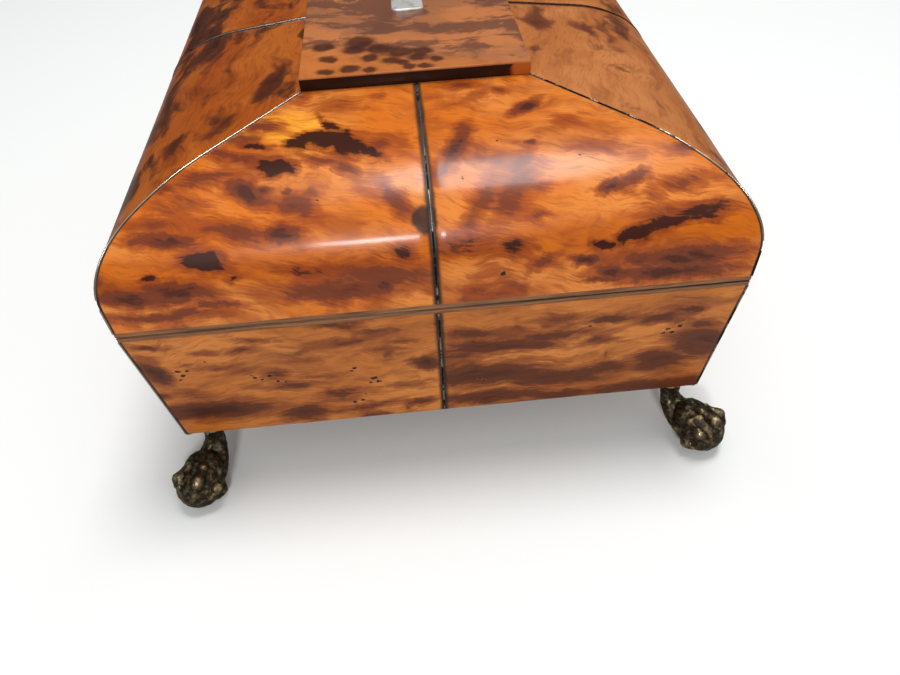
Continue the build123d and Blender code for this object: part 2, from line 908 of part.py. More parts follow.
def save_lid_lining():
    """Paper on the inside of the four lid walls."""
    sheets = []
    for side, flip in ((front, flip_y), (right, flip_x)):
        section = lid_band(side, wall_inset, lining_inset, lid_edging_z)
        sheet = along_side(side, section) & whole_wedge(side, lid_edging_z, lid_board_z)
        sheets += [sheet, flip(sheet)]
    save("lid_lining", *sheets)


def save_silk_pad():
    """The padded silk panel under the lid's top board, crowned downwards."""
    length = 2 * (lid_reach(right, lid_board_z, lining_inset) - silk_pad_margin)
    width = 2 * (lid_reach(front, lid_board_z, lining_inset) - silk_pad_margin)
    pad = Rot(180, 0, 0) * soft_block(length, width, silk_pad_edge, silk_pad_crown)
    save("lid_silk_pad", Pos(0, 0, lid_board_z - soft_gap) * pad)


# Tablet

tablet_low_z = tablet_seat_z(shell_thickness)
tablet_face_z = tablet_seat_z(0) + tablet_rise


def save_tablet():
    """A raised block on the crown, veneered on its top and its edges."""
    plaque = plaque_blank()
    core_x = tablet_x_half - shell_thickness
    core_y = tablet_y_half - shell_thickness
    core_z = tablet_face_z - shell_thickness
    foot_z = tablet_seat_z(0)
    core = block(-tablet_x_half, tablet_x_half, -tablet_y_half, tablet_y_half, tablet_low_z, foot_z)
    core += block(-core_x, core_x, -core_y, core_y, foot_z, core_z)
    shell = block(-tablet_x_half, tablet_x_half, -tablet_y_half, tablet_y_half, foot_z, tablet_face_z)
    shell -= block(-core_x, core_x, -core_y, core_y, foot_z, core_z)
    save("tablet_core", core)
    save("tablet_shell", shell - plaque)
    top_edge = plaque.edges().group_by(Axis.Z)[-1]
    save("name_plaque", chamfer(top_edge, plaque_bevel))


def plaque_blank():
    """The small plate let into the tablet's top."""
    outline = RectangleRounded(plaque_length, plaque_width, plaque_corner)
    return extrude(Pos(0, 0, tablet_face_z - plaque_let_in) * outline, amount=plaque_thickness)


# Tray

tray_x_half = base_reach(right, tray_seat_z, lining_inset) - tray_clearance
tray_y_half = base_reach(front, tray_seat_z, lining_inset) - tray_clearance
tray_top_z = tray_seat_z + tray_height
tray_floor_z = tray_seat_z + tray_floor
inner_x = tray_x_half - tray_wall
inner_y = tray_y_half - tray_wall
column_x = inner_x - end_column_width
cover_y = cover_row_width / 2
reel_y = inner_y - reel_row_width
cushion_y = reel_y - divider_thickness - cushion_row_width
cover_top_z = tray_top_z - cover_sink
cover_low_z = cover_top_z - cover_thickness
cover_x = (inner_x + column_x) / 2
reel_row_y = (inner_y + reel_y) / 2


def save_tray():
    """Four sides round a bottom."""
    sides = []
    for end in (-1, 1):
        low, high = sorted((end * inner_y, end * tray_y_half))
        sides.append(block(-tray_x_half, tray_x_half, low, high, tray_seat_z, tray_top_z))
        low, high = sorted((end * inner_x, end * tray_x_half))
        sides.append(block(low, high, -inner_y, inner_y, tray_seat_z, tray_top_z))
    save("tray_sides", *sides)
    bottom = block(-inner_x, inner_x, -inner_y, inner_y, tray_seat_z, tray_floor_z)
    for x in reel_places():
        bottom -= rod(spindle_radius, (x, reel_row_y, tray_seat_z), (x, reel_row_y, tray_floor_z))
    save("tray_bottom", bottom)


def cover_rests():
    """Small strips that the covers lie on."""
    rests = []
    for end in (-1, 1):
        for side in (-1, 1):
            y_low, y_high = sorted((side * cover_y, side * (cover_y - cover_rest_width)))
            x_low, x_high = sorted((end * column_x, end * inner_x))
            z_low = cover_low_z - cover_rest_height
            rests.append(block(x_low, x_high, y_low, y_high, z_low, cover_low_z))
    return rests


def save_dividers():
    """Upright partitions, and the strips that carry the covers."""
    boards = []
    for end in (-1, 1):
        low, high = sorted((end * (column_x - divider_thickness), end * column_x))
        boards.append(block(low, high, -inner_y, inner_y, tray_floor_z, tray_top_z))
        for side in (-1, 1):
            x_low, x_high = sorted((end * column_x, end * inner_x))
            y_low, y_high = sorted((side * cover_y, side * (cover_y + divider_thickness)))
            boards.append(block(x_low, x_high, y_low, y_high, tray_floor_z, tray_top_z))
    middle = column_x - divider_thickness
    for y in (reel_y, cushion_y):
        boards.append(block(-middle, middle, y - divider_thickness, y, tray_floor_z, tray_top_z))
    save("tray_dividers", *boards, *cover_rests())


def save_pincushion():
    length = 2 * (column_x - divider_thickness - soft_gap)
    width = cushion_row_width - 2 * soft_gap
    middle = (reel_y - divider_thickness + cushion_y) / 2
    cushion = soft_block(length, width, cushion_edge, cushion_crown)
    save("pincushion", Pos(0, middle, tray_floor_z + soft_gap) * cushion)


def cover_panel():
    length = end_column_width - 2 * cover_clearance
    width = cover_row_width - 2 * cover_clearance
    panel = block(-length / 2, length / 2, -width / 2, width / 2, cover_low_z, cover_top_z)
    return panel - rod(knob_tenon_radius, (0, 0, cover_low_z), (0, 0, cover_top_z))


def cover_pad():
    """The silk padding on a cover, with a hole for the knob."""
    length = end_column_width - 2 * cover_clearance - 2 * cover_pad_margin
    width = cover_row_width - 2 * cover_clearance - 2 * cover_pad_margin
    pad = soft_block(length, width, cover_pad_edge, cover_pad_crown)
    hole = extrude(RegularPolygon(knob_stem_radius + 2 * soft_gap, knob_hole_facets), amount=clear)
    return Pos(0, 0, cover_top_z) * (pad - hole)


def cover_knob():
    """A turned bone knob with a tenon through the panel."""
    neck_z = cover_top_z + knob_stem_rise
    points = [
        (0, cover_low_z),
        (knob_tenon_radius, cover_low_z),
        (knob_tenon_radius, cover_top_z),
        (knob_stem_radius, cover_top_z),
        (knob_stem_radius, neck_z),
        (knob_radius, neck_z + knob_radius * 0.6),
        (knob_radius * 0.7, neck_z + knob_radius * 1.2),
        (0, neck_z + knob_radius * 1.5),
    ]
    return revolve(Plane.XZ * make_face(Polyline(*points, close=True)), axis=Axis.Z)


def save_covers():
    for name, end in (("left", -1), ("right", 1)):
        place = Pos(end * cover_x, 0, 0)
        save(f"{name}_cover_panel", place * cover_panel())
        save(f"{name}_cover_pad", place * cover_pad())
        save(f"{name}_cover_knob", place * cover_knob())


def reel_places():
    first = -reel_spacing * (reel_count - 1) / 2
    return [first + n * reel_spacing for n in range(reel_count)]


def reel():
    """A turned bone reel: two rims that slope to a waist, with a bore for its spindle."""
    low = tray_floor_z + soft_gap
    high = low + reel_height
    bore = spindle_radius + spindle_clearance
    points = [
        (bore, low),
        (reel_radius, low),
        (reel_radius, low + reel_rim),
        (reel_waist, low + reel_rim * 2),
        (reel_waist, high - reel_rim * 2),
        (reel_radius, high - reel_rim),
        (reel_radius, high),
        (bore, high),
    ]
    return revolve(Plane.XZ * make_face(Polyline(*points, close=True)), axis=Axis.Z)


def save_reels():
    spindles = []
    top_z = tray_floor_z + soft_gap + reel_height + spindle_stand
    for n, x in enumerate(reel_places()):
        save(f"reel_{n + 1}", Pos(x, reel_row_y, 0) * reel())
        spindles.append(rod(spindle_radius, (x, reel_row_y, tray_seat_z), (x, reel_row_y, top_z)))
    save("reel_spindles", *spindles)


save_base_boards()
save_bottom_board()
save_base_shells()
save_base_stringing()
save_escutcheon()
save_base_edging()
save_base_lining()
save_ledges()
save_feet()
save_hinges()
save_lock()
save_lid_boards()
save_lid_shells()
save_lid_stringing()
save_lid_edging()
save_lid_lining()
save_silk_pad()
save_tablet()
save_tray()
save_dividers()
save_pincushion()
save_covers()
save_reels()
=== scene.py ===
"""An antique tortoiseshell sewing box on claw-and-ball feet, dressed round its frame.

Lengths are metres, +X runs along the box, -Y is the front with the lock, and +Z is up.
"""

import json
import math
from collections import namedtuple

import bmesh
import bpy
from mathutils import Euler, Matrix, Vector


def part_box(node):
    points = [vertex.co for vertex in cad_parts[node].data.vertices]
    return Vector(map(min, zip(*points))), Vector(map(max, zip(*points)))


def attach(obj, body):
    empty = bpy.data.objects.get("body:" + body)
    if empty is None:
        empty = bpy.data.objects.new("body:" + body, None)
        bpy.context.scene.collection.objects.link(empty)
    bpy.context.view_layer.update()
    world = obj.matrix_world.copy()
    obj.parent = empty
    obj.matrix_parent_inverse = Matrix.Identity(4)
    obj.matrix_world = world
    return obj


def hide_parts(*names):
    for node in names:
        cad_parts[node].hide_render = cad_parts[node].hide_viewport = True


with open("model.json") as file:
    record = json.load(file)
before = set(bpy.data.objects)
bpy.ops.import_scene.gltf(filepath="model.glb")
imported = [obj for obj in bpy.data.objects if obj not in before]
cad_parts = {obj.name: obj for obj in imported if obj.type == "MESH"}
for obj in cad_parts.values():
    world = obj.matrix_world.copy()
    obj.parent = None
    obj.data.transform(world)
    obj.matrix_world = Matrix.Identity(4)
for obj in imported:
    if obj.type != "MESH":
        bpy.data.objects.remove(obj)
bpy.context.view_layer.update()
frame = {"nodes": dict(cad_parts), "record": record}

MM = 0.001
JOINT_Z = 0.080
RIM_GAP = 0.0002
EDGING = 0.0018
SHELL = 0.0012
STRING = 0.0015
MITRE_STRING = 0.0010
HALF_LENGTH = 0.124
HALF_WIDTH = 0.100
TABLET_HALF_LENGTH = 0.062
TABLET_HALF_WIDTH = 0.038
LID_WALL_RISE = 0.012
SHOULDER_RADIUS = 0.0258
SHOULDER_TURN = 62.0
CROWN_RADIUS = 0.056
CROWN_SLOPE = 6.5
SIDES = {"right": 0, "back": 90, "left": 180, "front": 270}
A_HAIR = 0.01 * MM

# The way up the lid's rounded side is this share of its rise and its run added
SLOPE_SHARE = 0.72

# The base's outer faces, and the photograph's camera
BASE_HEIGHT = 0.0576
BASE_DRAW_IN = 0.0041
BASE_EDGE_ROUND = 0.0030
FOOT_HEIGHT = 0.0224
CAMERA_PLACE = Vector((0.2825, -0.0056, 0.2321))
CAMERA_TURN = Euler([math.radians(angle) for angle in (43.79, 2.115, 84.63)])
SENSOR = 36
LENS = 27.99
PICTURE_WIDTH = 900
PICTURE_HEIGHT = 675
FOCAL_PIXELS = LENS / SENSOR * PICTURE_WIDTH


# Working steps


def leave():
    bpy.ops.object.mode_set(mode="OBJECT")


def deselect():
    if bpy.context.object and bpy.context.object.mode != "OBJECT":
        leave()
    bpy.ops.object.select_all(action="DESELECT")


def take(piece):
    """Makes a piece the only one that the next steps work on."""
    deselect()
    piece.select_set(True)
    bpy.context.view_layer.objects.active = piece
    return piece


def edit(piece):
    """Opens a piece's mesh for editing, with all of it selected."""
    take(piece)
    bpy.ops.object.mode_set(mode="EDIT")
    bpy.ops.mesh.select_all(action="SELECT")


def pick(test):
    """In edit mode, selects the points whose place passes a test, and what lies between them."""
    bpy.ops.mesh.select_mode(type="VERT")
    mesh = bmesh.from_edit_mesh(bpy.context.object.data)
    for point in mesh.verts:
        point.select = bool(test(point.co))
    mesh.select_flush_mode()
    bmesh.update_edit_mesh(bpy.context.object.data)


def face_outwards():
    """In edit mode, turns all faces outwards, and leaves it."""
    bpy.ops.mesh.select_all(action="SELECT")
    bpy.ops.mesh.normals_make_consistent(inside=False)
    leave()


def modify(piece, kind, **settings):
    """Adds a modifier and applies it."""
    take(piece)
    modifier = piece.modifiers.new(kind.title(), kind)
    for setting, value in settings.items():
        setattr(modifier, setting, value)
    bpy.ops.object.modifier_apply(modifier=modifier.name)


def smooth(piece, angle=35):
    take(piece)
    bpy.ops.object.shade_smooth_by_angle(angle=math.radians(angle))


def settle(piece):
    """Moves a piece's place and turn into its mesh."""
    take(piece)
    bpy.ops.object.transform_apply(location=True, rotation=True, scale=True)


def dress(piece, name, body, finish, slot, *nodes):
    """Names a finished piece, gives it its finish, and sets it on its body in place of its CAD nodes."""
    piece.name = name
    piece.data.name = name
    piece.data.materials.clear()
    piece.data.materials.append(finish)
    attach(piece, body)
    if nodes:
        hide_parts(*nodes)
    return piece


def merged_copy(node):
    """A copy of a CAD node as one closed skin with whole faces."""
    piece = frame["nodes"][node].copy()
    piece.data = piece.data.copy()
    for key in [key for key in piece.keys() if key.startswith("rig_")]:
        del piece[key]
    bpy.context.collection.objects.link(piece)
    piece.parent = None
    edit(piece)
    bpy.ops.mesh.remove_doubles(threshold=2e-6)
    bpy.ops.mesh.dissolve_limited(angle_limit=math.radians(1.5))
    leave()
    return piece


def ease_edges(piece, width, angle):
    modify(piece, "BEVEL", width=width, segments=2, limit_method="ANGLE", angle_limit=math.radians(angle))


def softened(node, edge, body, finish, slot):
    """A CAD node with its sharp edges eased by a small width."""
    piece = merged_copy(node)
    ease_edges(piece, edge, 40)
    smooth(piece)
    return dress(piece, node + "_eased", body, finish, slot, node)


# Finishes


def tint(red, green, blue):
    """A colour as it is seen, from 0 to 255, as the light it gives back."""
    seen = [value / 255 for value in (red, green, blue)]
    light = [value / 12.92 if value <= 0.04045 else ((value + 0.055) / 1.055) ** 2.4 for value in seen]
    return (*light, 1.0)


class Nodes:
    """A tree of nodes, with short names for the steps that the finishes and the world share."""

    def __init__(self, tree):
        self.tree = tree

    def feed(self, socket, value):
        if isinstance(value, bpy.types.NodeSocket):
            self.tree.links.new(value, socket)
        else:
            socket.default_value = value

    def add(self, kind, inputs, **settings):
        node = self.tree.nodes.new("ShaderNode" + kind)
        for setting, value in settings.items():
            setattr(node, setting, value)
        for socket, value in inputs.items():
            self.feed(node.inputs[socket], value)
        return node

    def pointiness(self):
        return self.add("NewGeometry", {}).outputs["Pointiness"]

    def scaled(self, vector, factor):
        return self.add("VectorMath", {0: vector, 3: factor}, operation="SCALE").outputs[0]

    def parts(self, vector):
        return self.add("SeparateXYZ", {0: vector}).outputs

    def join(self, x, y, z=0.0):
        return self.add("CombineXYZ", {0: x, 1: y, 2: z}).outputs[0]

    def moved(self, vector, turn=0.0, size=(1, 1, 1), shift=(0, 0, 0)):
        """A pattern's coordinates, first turned about Z, then scaled and shifted."""
        inputs = {"Vector": vector, "Rotation": (0, 0, math.radians(turn))}
        turned = self.add("Mapping", inputs).outputs[0]
        inputs = {"Vector": turned, "Scale": size, "Location": shift}
        return self.add("Mapping", inputs).outputs[0]

    def noise(self, vector, scale=1.0, detail=3.0, roughness=0.5):
        inputs = {"Vector": vector, "Scale": scale, "Detail": detail, "Roughness": roughness}
        return self.add("TexNoise", inputs).outputs["Fac"]

    def drawn(self, vector, turn, size, detail, roughness=0.5, shift=(0, 0, 0)):
        """Noise that is drawn out in a direction."""
        return self.noise(self.moved(vector, turn, size, shift), 1.0, detail, roughness)

    def ease(self, value, low, high, start=0.0, end=1.0):
        """A smooth step from one value to another."""
        inputs = {0: value, 1: low, 2: high, 3: start, 4: end}
        return self.add("MapRange", inputs, interpolation_type="SMOOTHSTEP").outputs[0]

    def line(self, value, low, high, start=0.0, end=1.0):
        return self.add("MapRange", {0: value, 1: low, 2: high, 3: start, 4: end}).outputs[0]

    def reckon(self, operation, first, second=0.0):
        return self.add("Math", {0: first, 1: second}, operation=operation).outputs[0]

    def plus(self, first, second):
        return self.reckon("ADD", first, second)

    def minus(self, first, second):
        return self.reckon("SUBTRACT", first, second)

    def times(self, first, second):
        return self.reckon("MULTIPLY", first, second)

    def vector(self, operation, first, second=(0, 0, 0)):
        return self.add("VectorMath", {0: first, 1: second}, operation=operation).outputs[0]

    def length(self, vector):
        return self.add("VectorMath", {0: vector}, operation="LENGTH").outputs["Value"]

    def along(self, vector, direction):
        """How far a place lies in a direction."""
        return self.add("VectorMath", {0: vector, 1: direction}, operation="DOT_PRODUCT").outputs["Value"]

    def mix(self, share, first, second):
        node = self.add("Mix", {0: share, 6: first, 7: second}, data_type="RGBA")
        return node.outputs[2]

    def warp(self, vector, scale, amount):
        """Coordinates pushed about by soft noise."""
        inputs = {"Vector": vector, "Scale": scale, "Detail": 2.0}
        noise = self.add("TexNoise", inputs).outputs["Color"]
        centred = self.vector("SUBTRACT", noise, (0.5, 0.5, 0.5))
        return self.vector("ADD", vector, self.scaled(centred, amount))

    def lay(self, colour, over, field, low, high, strength):
        """Lays a second colour over a first as a field goes from low to high."""
        return self.mix(self.ease(field, low, high, 0.0, strength), colour, over)


class Finish(Nodes):
    """A material; its place is the place on the piece in millimetres."""

    def __init__(self, name, **sockets):
        self.material = bpy.data.materials.new(name)
        self.material.use_nodes = True
        super().__init__(self.material.node_tree)
        self.shader = self.tree.nodes["Principled BSDF"]
        self.place = self.scaled(self.add("TexCoord", {}).outputs["Object"], 1 / MM)
        self.bumps = None
        for socket, value in sockets.items():
            self.set(socket.replace("_", " "), value)

    def set(self, socket, value):
        self.feed(self.shader.inputs[socket], value)

    def bump(self, height, distance, strength=1.0):
        """A relief whose height is in millimetres."""
        inputs = {"Height": height, "Distance": distance * MM, "Strength": strength}
        if self.bumps:
            inputs["Normal"] = self.bumps
        self.bumps = self.add("Bump", inputs).outputs[0]
        self.set("Normal", self.bumps)

    def roughen(self, distance, strength, *noise):
        self.bump(self.noise(self.place, *noise), distance, strength)


def side_coordinates(f, turn, half, sloped):
    """Along the side, to the right seen from outside, and up it, in millimetres."""
    angle = math.radians(turn)
    outward = (math.cos(angle), math.sin(angle), 0)
    rightward = (-math.sin(angle), math.cos(angle), 0)
    along = f.along(f.place, rightward)
    height = f.minus(f.parts(f.place)[2], JOINT_Z / MM)
    if sloped:
        inward = f.minus(half / MM, f.along(f.place, outward))
        height = f.times(f.plus(height, inward), SLOPE_SHARE)
    return along, height


# Marks in the near side's shell, chosen in the photograph, whose places are in its pixels: across,
# down, half length, half width, turn in degrees, and depth, which is above nought for a purple-brown cloud
# and below it for a dark mark
LID_MARKS = (
    (299, 145, 14, 6, 15, -0.85), (322, 139, 22, 7, 5, -0.9), (345, 143, 15, 9, -35, -0.95),
    (330, 127, 14, 4, -35, -0.75), (368, 150, 16, 4, -20, -0.75), (276, 166, 17, 7, -5, -0.95),
    (320, 160, 20, 5, -10, 0.7), (255, 147, 16, 3, -5, -0.7), (240, 158, 40, 5, -8, 0.65),
    (378, 142, 15, 6, 5, 0.55), (246, 190, 22, 10, -30, 0.95), (266, 188, 8, 5, 0, 0.85),
    (296, 207, 20, 9, -15, 0.75), (287, 193, 4, 4, 0, 0.7), (347, 168, 22, 9, -30, 0.65),
    (365, 182, 30, 12, -35, 0.45), (392, 195, 30, 9, -52, 0.7), (180, 205, 30, 14, 0, 0.5),
    (150, 225, 30, 10, 0, 0.5), (240, 230, 48, 12, -10, 0.65), (280, 234, 17, 9, 0, 0.95),
    (165, 243, 34, 8, -5, 0.95), (203, 262, 24, 9, 0, -0.8), (230, 278, 8, 4, 0, -0.6),
    (150, 281, 12, 3, 0, -0.7), (175, 295, 36, 9, 0, 0.95), (130, 300, 30, 8, 0, 0.9),
    (215, 304, 28, 4, 0, 0.7), (160, 316, 70, 5, 4, 0.7), (385, 276, 62, 13, -4, 0.7),
    (335, 289, 62, 12, 3, 0.75), (385, 283, 16, 6, 0, 0.85), (402, 254, 14, 10, 0, -0.6),
    (375, 258, 10, 8, 0, -0.4), (305, 270, 34, 6, 0, -0.5), (335, 103, 28, 8, 0, 0.45),
    (300, 101, 12, 6, 0, 0.55), (378, 97, 10, 6, 0, 0.4), (262, 125, 16, 6, -10, 0.7),
    (205, 178, 40, 8, 12, 0.6), (165, 188, 14, 7, 0, 0.6), (400, 140, 14, 10, 0, 0.4),
    (455, 147, 25, 9, 62, 0.85), (442, 172, 14, 7, 60, 0.6), (526, 106, 14, 5, 28, 0.95),
    (475, 95, 30, 6, 25, 0.45), (500, 88, 14, 5, 0, 0.5), (460, 85, 20, 5, 0, 0.55),
    (520, 158, 22, 8, 42, 0.55), (532, 142, 5, 3, 0, 0.8), (512, 195, 42, 16, 55, 0.6),
    (480, 205, 32, 12, 60, 0.65), (535, 185, 20, 7, 10, 0.55), (540, 217, 12, 4, 0, 0.6),
    (613, 188, 14, 6, 10, 0.95), (634, 177, 17, 6, 28, 0.8), (690, 180, 30, 8, 10, 0.6),
    (657, 193, 14, 8, 0, 0.55), (670, 210, 32, 10, 5, 0.6), (632, 235, 18, 8, 12, -0.95),
    (662, 222, 36, 8, 14, -0.7), (704, 212, 30, 8, 6, -0.7), (603, 244, 10, 4, -8, -0.95),
    (585, 262, 13, 5, -8, 0.98), (470, 246, 42, 13, 0, -0.5), (515, 246, 20, 10, 0, -0.55),
    (545, 262, 20, 5, 25, 0.6), (690, 255, 50, 11, 4, 0.9), (640, 259, 16, 6, 0, 0.8),
    (612, 272, 14, 7, 0, 0.9), (670, 272, 62, 8, 3, 0.95), (600, 280, 18, 3, 5, 0.8),
    (490, 270, 20, 14, 0, 0.45), (480, 290, 16, 10, 0, 0.5), (505, 295, 14, 6, 0, 0.5),
    (565, 120, 14, 7, 20, 0.35), (600, 146, 26, 9, 0, 0.4), (688, 146, 20, 6, 22, 0.7),
)
BASE_MARKS = (
    (155, 373, 15, 8, -42, 0.95), (146, 348, 12, 3, 0, 0.7), (200, 352, 22, 3, 2, 0.5),
    (185, 365, 8, 3, 0, 0.5), (225, 368, 30, 4, 3, 0.5), (213, 411, 50, 8, 4, 0.95),
    (305, 412, 20, 7, 5, 0.85), (340, 395, 20, 5, 5, 0.65), (335, 325, 22, 4, 5, 0.7),
    (350, 341, 30, 4, 5, 0.5), (370, 406, 28, 4, 8, 0.7), (425, 363, 12, 5, -10, 0.9),
    (410, 385, 22, 4, 0, 0.45), (420, 401, 12, 3, 5, 0.7), (240, 350, 18, 4, 3, 0.55),
    (255, 340, 22, 3, 3, 0.5), (200, 396, 22, 4, -3, 0.6), (300, 360, 22, 3, 4, 0.45),
    (290, 386, 32, 4, 3, 0.6), (275, 373, 14, 4, 0, 0.6), (380, 350, 20, 3, 5, 0.5),
    (160, 397, 12, 3, 0, 0.6), (400, 340, 16, 3, 5, 0.5), (320, 375, 26, 3, 3, 0.45),
    (480, 375, 62, 10, 3, 0.85), (500, 345, 52, 6, 4, 0.8), (470, 334, 30, 5, 4, 0.7),
    (550, 335, 40, 5, 5, 0.65), (560, 377, 52, 8, 4, 0.8), (490, 396, 52, 6, 3, 0.85),
    (600, 341, 22, 4, 5, 0.6), (610, 320, 22, 4, 5, 0.8), (660, 318, 20, 4, 6, 0.7),
    (690, 310, 14, 3, 5, 0.8), (700, 345, 28, 12, 0, 0.85), (660, 360, 26, 10, 5, 0.8),
    (650, 385, 62, 6, 5, 0.8), (600, 368, 32, 5, 6, 0.7), (560, 318, 30, 3, 5, 0.5),
    (520, 360, 30, 4, 4, 0.5), (460, 355, 22, 4, 3, 0.6), (560, 395, 40, 5, 4, 0.7),
    (700, 325, 16, 4, 0, 0.6),
)
# Worm holes and chips: across and down in the photograph, and radius in millimetres
BASE_HOLES = (
    (178, 372, 0.9), (183, 376, 0.8), (187, 371, 0.7), (181, 380, 0.6), (255, 378, 0.8), (262, 380, 0.6),
    (270, 376, 0.9), (278, 381, 0.7), (286, 382, 0.5), (252, 376, 0.5), (374, 378, 1.2), (379, 381, 0.8),
    (371, 382, 0.7), (355, 368, 0.9), (352, 371, 0.5), (366, 394, 0.5), (363, 400, 0.8), (355, 402, 0.7),
    (672, 332, 0.9), (680, 326, 0.8), (668, 329, 0.8), (663, 333, 0.7), (684, 320, 0.6), (480, 378, 0.7),
    (484, 380, 0.6), (205, 362, 0.5), (308, 378, 0.5), (345, 390, 0.4), (590, 326, 0.5),
)
LID_HOLES = ((503, 274, 0.8), (317, 200, 0.4), (580, 155, 0.5), (497, 141, 0.4), (462, 178, 0.4))
STAIN = (425, 220, 4.0)

SEAM_STAIN = tint(38, 22, 16)
SHADE_NAMES = ("honey", "peach", "amber", "russet", "umber", "dark")


def shades(*colours):
    return {name: tint(*colour) for name, colour in zip(SHADE_NAMES, colours)}


LID_TINTS = shades(
    (214, 112, 22), (224, 134, 56), (200, 100, 2), (156, 68, 16), (112, 50, 28), (52, 20, 10)
)
# Painted shade: the lid's tints made darker for its front side, which gets less light
FRONT_PAINTED_SHADE_TINTS = shades((164, 76, 10), (182, 96, 26), (142, 62, 4), (108, 44, 10), (70, 30, 14), (46, 18, 8))
BACK_TINTS = shades(
    (184, 110, 54), (200, 126, 70), (184, 98, 34), (148, 78, 38), (100, 52, 32), (58, 26, 16)
)
BASE_TINTS = shades(
    (184, 106, 42), (206, 126, 56), (176, 96, 32), (132, 66, 28), (86, 40, 22), (54, 24, 14)
)
# Painted light: a pool of light laid as a bright patch high on the near side's first plate
LID_PAINTED_LIGHT = (-44, 62, 24, 8, -8)


THINNEST_MARK = 0.6
SEAM_REACH = 4.0
PhotoMark = namedtuple("PhotoMark", "across down half_length half_width turn depth")
PhotoHole = namedtuple("PhotoHole", "across down radius")
Mark = namedtuple("Mark", "along up half_length half_width turn depth")
Hole = namedtuple("Hole", "along up radius")


def lid_reach(height):
    """How far the near side of the lid stands out at a height."""
    top = JOINT_Z + LID_WALL_RISE
    turn = math.radians(SHOULDER_TURN)
    if height <= top:
        return HALF_LENGTH
    if height <= top + SHOULDER_RADIUS * math.sin(turn):
        return HALF_LENGTH - SHOULDER_RADIUS + math.sqrt(SHOULDER_RADIUS**2 - (height - top) ** 2)
    beyond = CROWN_RADIUS - SHOULDER_RADIUS
    rise = height - top + beyond * math.sin(turn)
    middle = HALF_LENGTH - SHOULDER_RADIUS - beyond * math.cos(turn)
    slope = math.radians(CROWN_SLOPE)
    over = rise - CROWN_RADIUS * math.cos(slope)
    if over > 0:
        return middle + CROWN_RADIUS * math.sin(slope) - over / math.tan(slope)
    return middle + math.sqrt(CROWN_RADIUS**2 - rise**2)


def on_shell(across, down, part):
    """Where the line of sight through a place in the photograph meets the near side: along and up it."""
    sight = Vector((across - PICTURE_WIDTH / 2, PICTURE_HEIGHT / 2 - down, -FOCAL_PIXELS))
    sight = (CAMERA_TURN.to_matrix() @ sight).normalized()
    low = JOINT_Z if part == "lid" else FOOT_HEIGHT
    outside = 0.08
    inside = (low - CAMERA_PLACE.z) / sight.z
    for _ in range(40):
        middle = (outside + inside) / 2
        at = CAMERA_PLACE + sight * middle
        reach = lid_reach(at.z) if part == "lid" else base_reach(HALF_LENGTH, at.z)
        if at.x <= reach:
            inside = middle
        else:
            outside = middle
    at = CAMERA_PLACE + sight * inside
    up = at.z - JOINT_Z
    if part == "lid":
        up = SLOPE_SHARE * (up + HALF_LENGTH - at.x)
    return Vector((at.y, up)) / MM


def mark_on_shell(mark, part):
    """A mark of the photograph as it lies on the shell, in millimetres and degrees."""
    across, down, half_length, half_width, turn, depth = PhotoMark(*mark)
    step = 2
    right = (on_shell(across + step, down, part) - on_shell(across - step, down, part)) / (2 * step)
    below = (on_shell(across, down + step, part) - on_shell(across, down - step, part)) / (2 * step)
    lean = math.radians(turn)
    longer = (right * math.cos(lean) - below * math.sin(lean)) * half_length
    shorter = (right * math.sin(lean) + below * math.cos(lean)) * half_width
    way = longer.normalized()
    thick = max(abs(shorter.x * -way.y + shorter.y * way.x), THINNEST_MARK)
    slant = math.degrees(math.atan2(way.y, way.x))
    slant = (slant + 90) % 180 - 90
    return Mark(*on_shell(across, down, part), longer.length, thick, slant, depth)


def hole_on_shell(hole, part):
    hole = PhotoHole(*hole)
    return Hole(*on_shell(hole.across, hole.down, part), hole.radius)


# A mark counts as this deep in millimetres, so that depth hardly adds to the distance from its middle
FLAT = 1000


def spot(f, sheet, at, up, half_length, half_width, turn):
    """How far a place lies from the middle of a mark, where 1 is the mark's edge."""
    inputs = {"Vector": sheet, "Location": (at, up, 0), "Rotation": (0, 0, math.radians(turn))}
    inputs["Scale"] = (half_length, half_width, FLAT)
    return f.length(f.add("Mapping", inputs, vector_type="TEXTURE").outputs[0])


def on_plate(marks, number):
    """The marks that lie on the first or the second plate of a side, or reach into it."""
    first = number == 1
    return [
        mark for mark in marks
        if (mark.along < SEAM_REACH) == first or abs(mark.along) < SEAM_REACH
    ]


